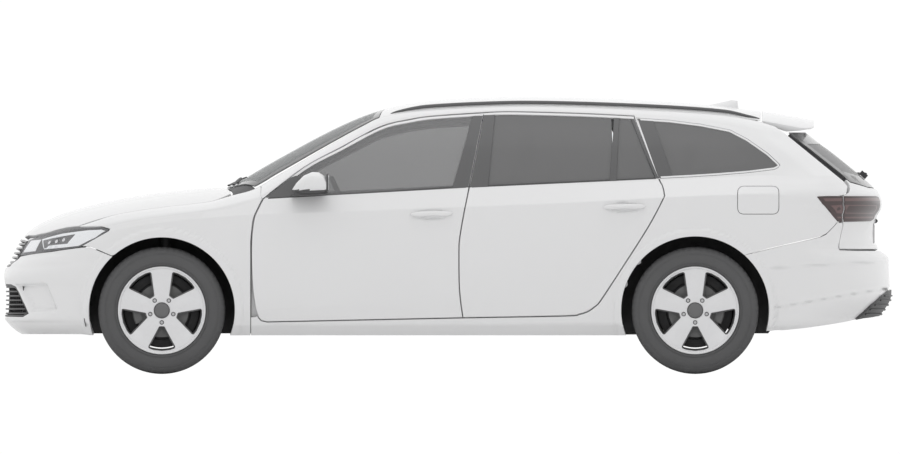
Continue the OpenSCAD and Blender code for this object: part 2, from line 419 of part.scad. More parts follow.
module dashboard() color([0.15, 0.15, 0.16]) {
    translate([0, 700, 0]) rotate([90, 0, 0]) linear_extrude(height = 1400) polygon([[-1030,560],[-1030,880],[-960,930],[-760,960],[-680,950],[-640,890],[-650,780],[-720,640],[-800,560]]);
    translate([-640, -110, 395]) cube([900, 220, 200]);
    translate([-800, -110, 395]) cube([170, 220, 170]);
    translate([-540, -370, 880]) rotate([0, 65, 0]) translate([0, 0, -170]) cylinder(h = 135, r = 34, $fn = 32);
}
module seat(y, w) {
    translate([0, y + w / 2, 0]) rotate([90, 0, 0]) linear_extrude(height = w) polygon([[-330,240],[-345,470],[-300,seat_z],[150,seat_z - 30],[255,760],[330,1040],[370,1060],[440,1040],[420,960],[330,640],[290,420],[230,380],[200,240]]);
    translate([0, y + 130, 0]) rotate([90, 0, 0]) linear_extrude(height = 260) polygon([[375,1095],[365,1180],[385,1270],[430,1290],[475,1265],[480,1180],[455,1100],[440,1095]]);
    for (q = [-60, 60]) translate([412, y + q, 1030]) cylinder(h = 80, r = 7, $fn = 24);
}
module front_seats() color([0.3, 0.3, 0.3]) { seat(-372, 470); seat(372, 470); }
module rear_seat() color([0.3, 0.3, 0.3]) {
    translate([0, 570, 0]) rotate([90, 0, 0]) linear_extrude(height = 1140) polygon([[650,346],[620,500],[660,550],[1060,525],[1190,860],[1230,1060],[1290,1070],[1320,1040],[1290,800],[1200,595],[1165,595],[1165,346]]);
    for (y = [-380, 0, 380]) {
        translate([0, y + 115, 0]) rotate([90, 0, 0]) linear_extrude(height = 230) polygon([[1235,1085],[1240,1190],[1270,1235],[1315,1225],[1330,1160],[1310,1085]]);
        for (q = [-50, 50]) translate([1275, y + q, 1050]) cylinder(h = 60, r = 6, $fn = 24);
    }
}
module steering_wheel() color([0.1, 0.1, 0.1]) translate([-540, -370, 880]) rotate([0, 65, 0]) {
    rotate_extrude($fn = 64) translate([172, 0]) circle(r = 14, $fn = 24);
    cylinder(h = 50, r = 60, center = true, $fn = 48);
    for (a = [0, 180, 270]) rotate([0, 0, a + 90]) translate([50, -18, -8]) cube([118, 36, 16]);
}
module knuckle() {
    ycyl(axle_front_x, tyre_r, 610, 735, 60);
    ycyl(axle_front_x, tyre_r, 730, 806, 28);
    translate([axle_front_x - 35, 600, 240]) cube([70, 45, 200]);
    translate([axle_front_x, 690 - 45, 258]) cylinder(h = 26, r = 40, $fn = 32);
    translate([axle_front_x + 20, 622, 430]) rotate([4, 0, 0]) cylinder(h = 300, r = 26, $fn = 32);
    translate([axle_front_x + 20, 590, 300]) cube([130, 30, 30]);
}
module knuckle_right() color([0.4, 0.4, 0.4]) knuckle();
module knuckle_left() color([0.4, 0.4, 0.4]) left() knuckle();

// ---------- wheels ----------
module tyre() rotate([-90, 0, 0]) rotate_extrude($fn = 96) polygon([[rim_r - 12,-91.6],[rim_r + 1,-92.6],[rim_r + 1.2,-97],[rim_r + 20,-104],[rim_r + 50,-tyre_w / 2],[rim_r + 75,-104],[rim_r + 94,-92],[tyre_r - 3,-78],[tyre_r,-50],
    [tyre_r,50],[tyre_r - 3,78],[rim_r + 94,92],[rim_r + 75,104],[rim_r + 50,tyre_w / 2],[rim_r + 20,104],[rim_r + 1.2,97],[rim_r + 1,92.6],[rim_r - 12,91.6]]);
module rim() rotate([-90, 0, 0]) {
    difference() {
        union() {
            rotate_extrude($fn = 96) polygon([[rim_r - 33,-96],[rim_r,-96],[rim_r,-93.2],[rim_r - 13,-92.2],[rim_r - 13,92.2],[rim_r,93.2],[rim_r,96],[rim_r - 14,96],[rim_r - 22,80],[rim_r - 33,-60]]);
            translate([0, 0, 30]) cylinder(h = 48, r = 78, $fn = 64);
            for (i = [0:4]) rotate([0, 0, 72 * i - 90]) translate([0, 0, 42]) linear_extrude(height = 36) polygon([[60,-32],[120,-34],[rim_r - 24,-58],[rim_r - 24,58],[120,34],[60,32]]);
        }
        for (i = [0:4]) rotate([0, 0, 72 * i - 54]) translate([bolt_pcd / 2, 0, 20]) cylinder(h = 80, r = 9, $fn = 24);
        translate([0, 0, 20]) cylinder(h = 48, r = 34, $fn = 48);
    }
    translate([0, 0, -4]) difference() { cylinder(h = 26, r = 145, $fn = 64); translate([0, 0, -1]) cylinder(h = 30, r = 70, $fn = 48); }
    difference() { translate([0, 0, 20]) cylinder(h = 12, r = 80, $fn = 48); translate([0, 0, 19]) cylinder(h = 14, r = 40, $fn = 48); }
}
module at_wheel(x, s) translate([x, s * half_track, tyre_r]) scale([1, s, 1]) children();
module tyre_front_right() color([0.1, 0.1, 0.1]) at_wheel(axle_front_x, 1) tyre();
module tyre_front_left() color([0.1, 0.1, 0.1]) left() at_wheel(axle_front_x, 1) tyre();
module tyre_rear_right() color([0.1, 0.1, 0.1]) at_wheel(axle_rear_x, 1) tyre();
module tyre_rear_left() color([0.1, 0.1, 0.1]) left() at_wheel(axle_rear_x, 1) tyre();
module rim_front_right() color([0.8, 0.8, 0.82]) at_wheel(axle_front_x, 1) rim();
module rim_front_left() color([0.8, 0.8, 0.82]) left() at_wheel(axle_front_x, 1) rim();
module rim_rear_right() color([0.8, 0.8, 0.82]) at_wheel(axle_rear_x, 1) rim();
module rim_rear_left() color([0.8, 0.8, 0.82]) left() at_wheel(axle_rear_x, 1) rim();

floor_pan();
side_frame_left();
side_frame_right();
roof_panel();
front_wings();
front_bumper();
grille();
rear_bumper();
windshield();
quarter_windows();
headlights();
tail_lights();
roof_rails();
wheel_liners();
engine();
front_subframe();
rear_axle();
exhaust();
fuel_tank();
dashboard();
front_seats();
rear_seat();
hood();
tailgate();
rear_window();
tailgate_lights();
front_door_left();
front_door_right();
rear_door_left();
rear_door_right();
front_door_glass_left();
front_door_glass_right();
rear_door_glass_left();
rear_door_glass_right();
mirror_left();
mirror_right();
fuel_flap();
steering_wheel();
knuckle_left();
knuckle_right();
tyre_front_left();
tyre_front_right();
tyre_rear_left();
tyre_rear_right();
rim_front_left();
rim_front_right();
rim_rear_left();
rim_rear_right();
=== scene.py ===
import bpy, bmesh, math
import numpy as np
from mathutils import Vector, Matrix
from mathutils.geometry import delaunay_2d_cdt


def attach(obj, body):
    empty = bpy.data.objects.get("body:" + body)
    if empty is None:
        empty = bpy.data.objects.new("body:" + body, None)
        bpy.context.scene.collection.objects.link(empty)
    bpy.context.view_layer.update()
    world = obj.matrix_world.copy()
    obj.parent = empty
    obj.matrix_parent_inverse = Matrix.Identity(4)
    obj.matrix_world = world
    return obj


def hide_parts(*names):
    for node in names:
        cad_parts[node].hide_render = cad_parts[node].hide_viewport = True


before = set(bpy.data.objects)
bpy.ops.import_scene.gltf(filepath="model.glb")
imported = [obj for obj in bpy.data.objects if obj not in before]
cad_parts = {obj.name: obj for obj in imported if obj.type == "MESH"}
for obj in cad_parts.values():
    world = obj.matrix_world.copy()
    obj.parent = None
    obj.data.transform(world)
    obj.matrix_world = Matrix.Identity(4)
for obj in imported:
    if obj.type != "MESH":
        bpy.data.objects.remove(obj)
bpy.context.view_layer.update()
SC = bpy.context.scene

# ------------------------------------------------------------------ guide curves (millimetres)
A = lambda t: np.array(t, float)
TOP = A([[-2260,708],[-2211,763],[-2105,821],[-2000,862],[-1893,891],[-1787,916],[-1681,936],
    [-1575,953],[-1469,966],[-1363,977],[-1257,986],[-1160,992],[-1130,1003],[-1045,1055],
    [-939,1117],[-833,1176],[-727,1234],[-621,1289],[-515,1339],[-409,1381],[-303,1411],
    [-197,1432],[-91,1447],[40,1457],[200,1464],[400,1468],[600,1467],[800,1461],[1000,1453],
    [1200,1441],[1400,1424],[1600,1400],[1700,1388],[1800,1371],[1900,1352],[1950,1342]])
EZ = A([[-2255,716],[-2215,722],[-2100,750],[-1957,782],[-1755,844],[-1513,883],[-1350,901],
    [-1254,914],[-1149,944],[-1024,980],[-900,1052],[-404,1338],[-330,1366],[-200,1390],
    [0,1406],[280,1418],[433,1420],[700,1415],[1000,1404],[1300,1388],[1500,1370],[1600,1352],[1665,1335],[1796,1283],[2108,1030],[2250,915]])
EY = A([[-2255,240],[-2215,460],[-2100,660],[-1957,772],[-1755,800],[-1513,800],[-1350,792],
    [-1254,780],[-1149,760],[-1024,745],[-900,728],[-404,640],[-330,625],[-200,612],[0,602],
    [280,596],[433,594],[700,590],[1000,584],[1300,574],[1500,566],[1600,562],[1665,564],[1796,586],[2108,690],[2250,700]])
SZ = A([[1400,1380],[1500,1370],[1600,1352],[1651,1345],[1800,1318],[1950,1290]])
SY = A([[1400,570],[1500,566],[1600,562],[1651,558],[1800,548],[1950,535]])
UT = A([[190,815],[255,862],[330,870],[500,878],[700,888],[900,894],[955,893],[1000,868],[1040,838],
    [1100,800],[1187,755],[1251,720],[1340,670]])
PW = A([[-2400,862],[-2100,878],[-1800,893],[-1400,908],[-900,914],[0,917],[900,915],[1500,905],[1900,890],[2400,862]])
ZL = A([[-2400,330],[-1100,334],[-1000,338],[67,408],[813,474],[1300,500],[2400,500]])
ZC = A([[-2350,600],[-2200,640],[-2000,700],[-1800,752],[-1600,790],[-1400,815],[-1200,832],
    [-1024,845],[-500,862],[67,885],[600,905],[1154,935],[1540,950],[1900,945],[2108,920],[2250,860]])
ZB = A([[-2350,625],[-2200,665],[-2000,725],[-1800,777],[-1600,815],[-1400,842],[-1200,868],
    [-1100,892],[-976,931],[-637,945],[120,984],[600,1003],[1127,1026],[1445,1042],[1700,1052],[1960,1030],[2108,955],[2250,885]])
ZT = A([[-2350,630],[-2200,670],[-2000,730],[-1800,782],[-1600,820],[-1400,847],[-1200,875],
    [-1100,900],[-976,938],[-759,1094],[-560,1200],[-353,1307],[-200,1345],[-70,1364],[195,1383],
    [338,1387],[700,1378],[990,1364],[1345,1341],[1500,1322],[1600,1300],[1665,1285],[1796,1240],[2108,1000],[2250,900]])
XF = A([[190,-2235],[233,-2300],[265,-2332],[297,-2345],[329,-2340],[456,-2338],[488,-2346],
    [519,-2349],[551,-2344],[594,-2320],[625,-2307],[668,-2286],[705,-2264],[722,-2250],[760,-2215],[820,-2105]])
XR = A([[190,2215],[265,2260],[297,2275],[329,2300],[392,2341],[456,2349],[551,2347],[615,2338],
    [640,2312],[665,2282],[710,2273],[774,2272],[837,2278],[870,2297],[901,2304],[933,2299],
    [965,2283],[996,2251],[1028,2219],[1124,2103],[1187,2023],[1251,1933],[1283,1896],[1340,1800]])
RF = 480.0
AXF, AXR, WR, HT = -1513.0, 1314.0, 337.0, 790.0
ARF, ARR = 387.0, 392.0


def cv(x, t):
    x = np.asarray(x, float)
    X, Y = t[:, 0], t[:, 1]
    m = np.empty(len(X))
    m[0] = (Y[1] - Y[0]) / (X[1] - X[0])
    m[-1] = (Y[-1] - Y[-2]) / (X[-1] - X[-2])
    m[1:-1] = (Y[2:] - Y[:-2]) / (X[2:] - X[:-2])
    i = np.clip(np.searchsorted(X, x, side="right") - 1, 0, len(X) - 2)
    h = X[i + 1] - X[i]
    s = np.clip((x - X[i]) / h, 0, 1)
    return ((2 * s**3 - 3 * s**2 + 1) * Y[i] + (s**3 - 2 * s**2 + s) * m[i] * h
            + (3 * s**2 - 2 * s**3) * Y[i + 1] + (s**3 - s**2) * m[i + 1] * h)


def mix(a, b, s):
    return a + (b - a) * s


def sst(s):
    s = np.clip(s, 0, 1)
    return s * s * (3 - 2 * s)


def G(z):
    return 868 - 0.36 * (z - 980) - 0.0005 * (z - 980) ** 2


def RR(z):
    return np.where(z < 900, 420.0, np.where(z > 1050, 270.0, 420 - (z - 900)))


def rnd(x, z):
    f = np.clip((x - cv(z, XF)) / RF, 0, 1)
    r = np.clip((cv(z, XR) - x) / RR(z), 0, 1)
    return np.maximum(1e-6, 1 - (1 - f) ** 2.2) ** 0.4 * np.maximum(1e-6, 1 - (1 - r) ** 2.2) ** 0.4


def lowW(x, z):
    p, zl, zc = cv(x, PW), cv(x, ZL), cv(x, ZC)
    s = np.clip((z - zl) / (zc - zl), 0, 1)
    return np.where(z < 255, p - mix(78, 38, np.clip((z - 195) / 60, 0, 1)),
                    np.where(z < zl, p - mix(38, 23, (z - 255) / (zl - 255)), p - 23 * (1 - s) + 20 * s * (1 - s)))


def W0(x, z):
    zc, zb, zt, ze, ye = cv(x, ZC), cv(x, ZB), cv(x, ZT), cv(x, EZ), cv(x, EY)
    low = lowW(x, z) * rnd(x, z)
    tp = 917 - cv(x, PW)
    pc = lowW(x, zc) * rnd(x, zc)
    k = rnd(x, z)
    front = x < -1300
    yb = np.where(front, pc - 6, np.minimum(pc - 6, (G(zb) - tp) * rnd(x, zb)))
    yt = np.where(x < -1100, yb - 2, (G(zt) - tp) * rnd(x, zt))
    sh = mix(pc, yb, np.clip((z - zc) / (zb - zc), 0, 1))
    gl = np.where(x < -1100, mix(yb, yt, np.clip((z - zb) / np.maximum(1, zt - zb), 0, 1)), (G(z) - tp) * k)
    y1 = np.minimum(yb - 1, yt)
    yy = np.minimum(ye, y1 - 4)
    s = np.clip((z - zt) / np.maximum(1, ze - zt), 0, 1)
    ar = yy + (y1 - yy) * np.maximum(0, 1 - s**1.7) ** 0.6
    return np.where(z <= zc, low, np.where(z <= zb, sh, np.where(z <= zt, gl, ar)))


def flare(x, z):
    """the raised lip round each wheel opening"""
    o = 0
    for c, r0, r1 in ((AXF, ARF, 436.0), (AXR, ARR, 436.0)):
        r = np.hypot(x - c, z - WR)
        o = o + 8.5 * sst((r1 - r) / 13.0) * (z < 800)
    return o


def W(x, z):
    x, z = np.broadcast_arrays(np.asarray(x, float), np.asarray(z, float))
    a = W0(x, z)
    b = cv(z, UT) * rnd(x, z)
    return mix(a, b, sst((x - 1600) / 300)) + flare(x, z)


def ey(x):
    return np.where(x < 1500, cv(x, EY), cv(x, SY))


def T(x, y):
    u = np.minimum(1.15, np.abs(y) / ey(x))
    t = cv(x, TOP)
    ez = np.where(x < 1500, cv(x, EZ), cv(x, SZ))
    return t - (t - ez) * (0.45 * u * u + 0.55 * u**7)


# ------------------------------------------------------------------ surfaces: (a, b) in mm -> points
class Surf:
    """A mapped surface. f(a, b) -> (x, y, z) arrays; sgn is the side of the outward normal."""

    def __init__(self, f, sgn=1.0, h=3.0):
        self.f, self.sgn, self.h = f, sgn, h

    def pt(self, a, b):
        return np.stack(self.f(np.asarray(a, float), np.asarray(b, float)), -1)

    def nrm(self, a, b):
        h = self.h
        u = self.pt(a + h, b) - self.pt(a - h, b)
        v = self.pt(a, b + h) - self.pt(a, b - h)
        n = np.cross(u, v) * self.sgn
        return n / np.maximum(1e-9, np.linalg.norm(n, axis=-1, keepdims=True))

    def at(self, a, b, d=0.0):
        return self.pt(a, b) - self.nrm(a, b) * np.asarray(d)[..., None]


class SideMap:
    """(x, v): v runs up the section, with the creases on constant v."""

    def __init__(self, vk, side):
        self.vk = A(vk)
        self.side = side

    def knots(self, x):
        zl, zc, zb = cv(x, ZL), cv(x, ZC), cv(x, ZB)
        zt = np.maximum(zb + 4, cv(x, ZT))
        ze = np.maximum(zt + 6, cv(x, EZ))
        return [np.full_like(x, 195.0), np.full_like(x, 255.0), zl, zc, zb, zt, ze]

    def z(self, x, v):
        x, v = np.broadcast_arrays(np.asarray(x, float), np.asarray(v, float))
        K = self.knots(x)
        o = np.array(K[0] + (v - self.vk[0]))
        for i in range(len(K) - 1):
            a, b = self.vk[i], self.vk[i + 1]
            q = (v - a) / (b - a)
            if i == len(K) - 2:
                q = 1 - np.maximum(0, 1 - np.clip(q, 0, 1)) ** 1.8
            zz = K[i] + (K[i + 1] - K[i]) * q
            o = np.where((v >= a) & (v <= b if i < len(K) - 2 else v >= a), zz, o)
        return o

    def v(self, x, z):
        x, z = np.broadcast_arrays(np.asarray(x, float), np.asarray(z, float))
        K = self.knots(x)
        o = np.array(self.vk[0] + (z - K[0]))
        for i in range(len(K) - 1):
            q = (z - K[i]) / (K[i + 1] - K[i])
            if i == len(K) - 2:
                q = 1 - np.maximum(0, 1 - np.clip(q, 0, 1)) ** (1 / 1.8)
            vv = self.vk[i] + (self.vk[i + 1] - self.vk[i]) * q
            o = np.where((z >= K[i]) & ((z <= K[i + 1]) if i < len(K) - 2 else z >= K[i]), vv, o)
        return o

    def surf(self, mod=None):
        s = self.side

        def f(x, v):
            x, v = np.broadcast_arrays(x, v)
            z = self.z(x, v)
            y = W(x, z)
            if mod is not None:
                y = y + mod(x, z)
            return x, s * y, z

        return Surf(f, sgn=-s)

    def loop(self, pts, step=12.0):
        """an outline in side view turned into this map's own (x, v)"""
        p = dense(pts, step)
        return np.stack([p[:, 0], self.v(p[:, 0], p[:, 1])], -1)


class EndMap:
    """(g, z): g is the way round the nose or the tail, 0 on the centre line, + to the right (+Y)."""

    def __init__(self, nose):
        self.nose = nose
        th = np.linspace(0, math.pi / 2, 400)
        R = RF if nose else 420.0
        x = R * (1 - np.cos(th) ** (2 / 2.2))
        y = 880.0 * np.sin(th) ** 0.8
        s = np.concatenate([[0], np.cumsum(np.hypot(np.diff(x), np.diff(y)))])
        self.th, self.s, self.L = th, s, s[-1]

    def xr(self, z):
        return (cv(z, XF), np.full_like(z, RF)) if self.nose else (cv(z, XR), RR(z))

    def f(self, g, z):
        g, z = np.broadcast_arrays(g, z)
        ag = np.abs(g)
        th = np.interp(ag, self.s, self.th)
        x0, R = self.xr(z)
        dx = R * (1 - np.cos(th) ** (2 / 2.2)) + np.maximum(0, ag - self.L)
        x = x0 + dx if self.nose else x0 - dx
        si = np.sin(th) ** 0.8
        if self.nose:
            y = lowW(x, z) * si
        else:
            s = sst((x - 1600) / 300)
            y = mix(lowW(x, np.minimum(z, cv(x, ZC))), cv(z, UT), s) * si
        y = y + flare(x, z)
        return x, np.sign(g) * y, z

    def surf(self, mod=None):
        def f(g, z):
            x, y, zz = self.f(g, z)
            if mod is not None:
                x = x + mod(x, y, zz)
            return x, y, zz
        return Surf(f, sgn=-1.0 if self.nose else 1.0)

    def gx(self, x, z):
        """the way round at a station x"""
        x, z = np.broadcast_arrays(np.asarray(x, float), np.asarray(z, float))
        x0, R = self.xr(z)
        d = (x - x0) if self.nose else (x0 - x)
        f = np.clip(d / R, 0, 1)
        th = np.arccos(np.clip((1 - f) ** 1.1, 0, 1))
        return np.interp(th, self.th, self.s) + np.maximum(0, d - R)

    def gy(self, y, z):
        y, z = np.broadcast_arrays(np.asarray(y, float), np.asarray(z, float))
        w = lowW(-2150.0, z) if self.nose else cv(z, UT)
        th = np.arcsin(np.clip(np.abs(y) / w, 0, 1) ** 1.25)
        return np.interp(th, self.th, self.s)

    def loop(self, pts, side, step=12.0):
        """corners are ('x', x, z) read in side view, or ('y', y, z) read from the front"""
        q = []
        for k, a, z in pts:
            q.append([float(self.gx(a, z) if k == "x" else self.gy(a, z)), z])
        p = dense(np.array(q), step)
        p[:, 0] *= side
        return p


def topsurf(dz=0.0):
    return Surf(lambda x, y: (x, y, T(x, y) + dz), sgn=1.0)


# ------------------------------------------------------------------ outlines
def dense(p, step=12.0):
    """closed loop with points at most step apart"""
    p = np.asarray(p, float)
    out = []
    for i in range(len(p)):
        a, b = p[i], p[(i + 1) % len(p)]
        n = max(1, int(math.ceil(np.linalg.norm(b - a) / step)))
        for k in range(n):
            out.append(a + (b - a) * k / n)
    return np.array(out)


def rounded(p, r, n=5):
    """closed polygon with its corners rounded; r is one radius or one per corner"""
    p = np.asarray(p, float)
    N = len(p)
    rr = np.full(N, float(r)) if np.isscalar(r) else A(r)
    out = []
    for i in range(N):
        a, b, c = p[i - 1], p[i], p[(i + 1) % N]
        u, v = a - b, c - b
        lu, lv = np.linalg.norm(u), np.linalg.norm(v)
        if rr[i] <= 0 or lu < 1e-6 or lv < 1e-6:
            out.append(b)
            continue
        u, v = u / lu, v / lv
        cosang = float(np.clip(np.dot(u, v), -1, 1))
        half = math.acos(cosang) / 2
        if half > math.pi / 2 - 0.03:
            out.append(b)
            continue
        t = min(rr[i] / math.tan(half), 0.48 * lu, 0.48 * lv)
        p0, p1 = b + u * t, b + v * t
        for k in range(n + 1):
            s = k / n
            out.append((1 - s) ** 2 * p0 + 2 * s * (1 - s) * b + s * s * p1)
    return np.array(out)


def area(p):
    x, y = p[:, 0], p[:, 1]
    return 0.5 * float(np.sum(x * np.roll(y, -1) - np.roll(x, -1) * y))


def ccw(p):
    return p if area(p) > 0 else p[::-1].copy()


def offset(p, d):
    """loop moved by d to its left (inwards for a counter-clockwise loop)"""
    a, c = np.roll(p, 1, 0), np.roll(p, -1, 0)
    e0, e1 = p - a, c - p
    e0 /= np.maximum(1e-9, np.linalg.norm(e0, axis=1, keepdims=True))
    e1 /= np.maximum(1e-9, np.linalg.norm(e1, axis=1, keepdims=True))
    n0 = np.stack([-e0[:, 1], e0[:, 0]], -1)
    n1 = np.stack([-e1[:, 1], e1[:, 0]], -1)
    n = n0 + n1
    l = np.maximum(0.35, np.sum(n * n, 1) / 2)
    return p + n * (d / l)[:, None]


def clip_half(p, a, b):
    """the part of a polygon on the left of the line a -> b"""
    p = np.asarray(p, float)
    a, b = A(a), A(b)
    s = lambda q: (b[0] - a[0]) * (q[1] - a[1]) - (b[1] - a[1]) * (q[0] - a[0])
    out = []
    for i in range(len(p)):
        q, r = p[i], p[(i + 1) % len(p)]
        sq, sr = s(q), s(r)
        if sq >= 0:
            out.append(q)
        if sq * sr < 0:
            out.append(q + (r - q) * sq / (sq - sr))
    return np.array(out)


def inside(pts, loops):
    r = np.zeros(len(pts), bool)
    X, Y = pts[:, 0], pts[:, 1]
    for p in loops:
        x0, y0 = p[:, 0], p[:, 1]
        x1, y1 = np.roll(x0, -1), np.roll(y0, -1)
        for k in range(len(p)):
            c = (y0[k] > Y) != (y1[k] > Y)
            if c.any():
                xi = x0[k] + (Y - y0[k]) * (x1[k] - x0[k]) / ((y1[k] - y0[k]) if y1[k] != y0[k] else 1e-12)
                r ^= c & (X < xi)
    return r


def dist_to(pts, loops):
    d = np.full(len(pts), 1e18)
    for p in loops:
        q = np.roll(p, -1, 0)
        for k in range(len(p)):
            a, e = p[k], q[k] - p[k]
            L = max(1e-12, float(e @ e))
            t = np.clip(((pts - a) @ e) / L, 0, 1)
            w = pts - a - t[:, None] * e
            d = np.minimum(d, np.sum(w * w, 1))
    return np.sqrt(d)


def fill(loops, ua, vb):
    """Fills outer loop and holes: quads on the lines ua x vb where they fit, triangles up to the edge.
    Returns points, faces; the first points are the loops' own, in order."""
    pts = [np.asarray(l, float) for l in loops]
    base = np.concatenate(pts)
    n0 = len(base)
    lo, hi = base.min(0), base.max(0)
    ua = ua[(ua > lo[0]) & (ua < hi[0])]
    vb = vb[(vb > lo[1]) & (vb < hi[1])]
    quads, gp = [], np.zeros((0, 2))
    if len(ua) > 1 and len(vb) > 1:
        U, V = np.meshgrid(ua, vb, indexing="ij")
        g = np.stack([U.ravel(), V.ravel()], -1)
        ok = inside(g, pts)
        idx = np.where(ok)[0]
        gap = 0.45 * min(np.median(np.diff(ua)), np.median(np.diff(vb)))
        dd = dist_to(g[idx], pts)
        ok[idx[dd < gap]] = False
        ok = ok.reshape(U.shape)
        cell = ok[:-1, :-1] & ok[1:, :-1] & ok[1:, 1:] & ok[:-1, 1:]
        # cells that a loop edge cuts through are left out
        cc = np.stack([(U[:-1, :-1] + U[1:, 1:]) / 2, (V[:-1, :-1] + V[1:, 1:]) / 2], -1).reshape(-1, 2)
        used = np.zeros(U.shape, bool)
        ci = np.where(cell)
        nv = U.shape[1]
        for i, j in zip(*ci):
            quads.append((i * nv + j, (i + 1) * nv + j, (i + 1) * nv + j + 1, i * nv + j + 1))
        keep = sorted({k for q in quads for k in q})
        remap = {k: n0 + m for m, k in enumerate(keep)}
        quads = [tuple(remap[k] for k in q) for q in quads]
        gp = g[keep]
    allp = np.concatenate([base, gp])
    # border edges of the quad block
    cnt = {}
    for q in quads:
        for k in range(4):
            e = (q[k], q[(k + 1) % 4])
            s = (min(e), max(e))
            cnt[s] = cnt.get(s, 0) + 1
    border = [e for e, c in cnt.items() if c == 1]
    # only loop points and border points are triangulated
    bp = sorted({k for e in border for k in e})
    loc = list(range(n0)) + bp
    m = {k: i for i, k in enumerate(loc)}
    edges = []
    o = 0
    for l in pts:
        n = len(l)
        edges += [(o + k, o + (k + 1) % n) for k in range(n)]
        o += n
    edges += [(m[a], m[b]) for a, b in border]
    co = allp[loc]
    sc = float(np.abs(co).max()) or 1.0
    res = delaunay_2d_cdt([Vector((float(x) / sc, float(y) / sc)) for x, y in co], edges, [], 0, 1e-7)
    vo, fo, orig = res[0], res[2], res[3]
    back = []
    extra = []
    for k, v in enumerate(vo):
        if orig[k]:
            back.append(loc[orig[k][0]])
        else:
            back.append(len(allp) + len(extra))
            extra.append((v[0] * sc, v[1] * sc))
    if extra:
        allp = np.concatenate([allp, np.array(extra)])
    tri = [tuple(back[k] for k in f) for f in fo if len(f) == 3]
    tri = [t for t in tri if len(set(t)) == 3]
    if tri:
        ta = np.array(tri)
        cen = allp[ta].mean(1)
        ok = inside(cen, pts)
        if quads:
            qa = set()
            for i, j in zip(*ci):
                qa.add((int(i), int(j)))
            iu = np.searchsorted(ua, cen[:, 0]) - 1
            jv = np.searchsorted(vb, cen[:, 1]) - 1
            for k in range(len(ta)):
                if ok[k] and (int(iu[k]), int(jv[k])) in qa:
                    ok[k] = False
        out = []
        for k in range(len(ta)):
            if ok[k]:
                t = ta[k]
                p = allp[t]
                a2 = (p[1][0] - p[0][0]) * (p[2][1] - p[0][1]) - (p[1][1] - p[0][1]) * (p[2][0] - p[0][0])
                if abs(a2) < 1e-6:
                    continue
                out.append(tuple(t) if a2 > 0 else tuple(t[::-1]))
        tri = out
    return allp, [tuple(q) for q in quads] + tri, n0


# ------------------------------------------------------------------ meshes
def new_mesh(name, verts, faces, mats=None, fm=None, normals=None, smooth=True):
    me = bpy.data.meshes.new(name)
    me.from_pydata([tuple(map(float, v)) for v in verts], [], [tuple(int(k) for k in f) for f in faces])
    me.validate(clean_customdata=False)
    if smooth:
        me.polygons.foreach_set("use_smooth", [True] * len(me.polygons))
    for m in mats or []:
        me.materials.append(m)
    if fm is not None and len(fm) == len(me.polygons):
        me.polygons.foreach_set("material_index", fm)
    me.update()
    if normals is not None and len(normals) == len(me.vertices):
        me.normals_split_custom_set_from_vertices([tuple(map(float, n)) for n in normals])
    ob = bpy.data.objects.new(name, me)
    SC.collection.objects.link(ob)
    return ob


def grid_lines(lo, hi, step, extra=()):
    n = max(2, int(round((hi - lo) / step)))
    g = list(np.linspace(lo, hi, n + 1))
    for e in extra:
        g = [k for k in g if abs(k - e) > step * 0.35]
    g += list(extra)
    return np.array(sorted(g))


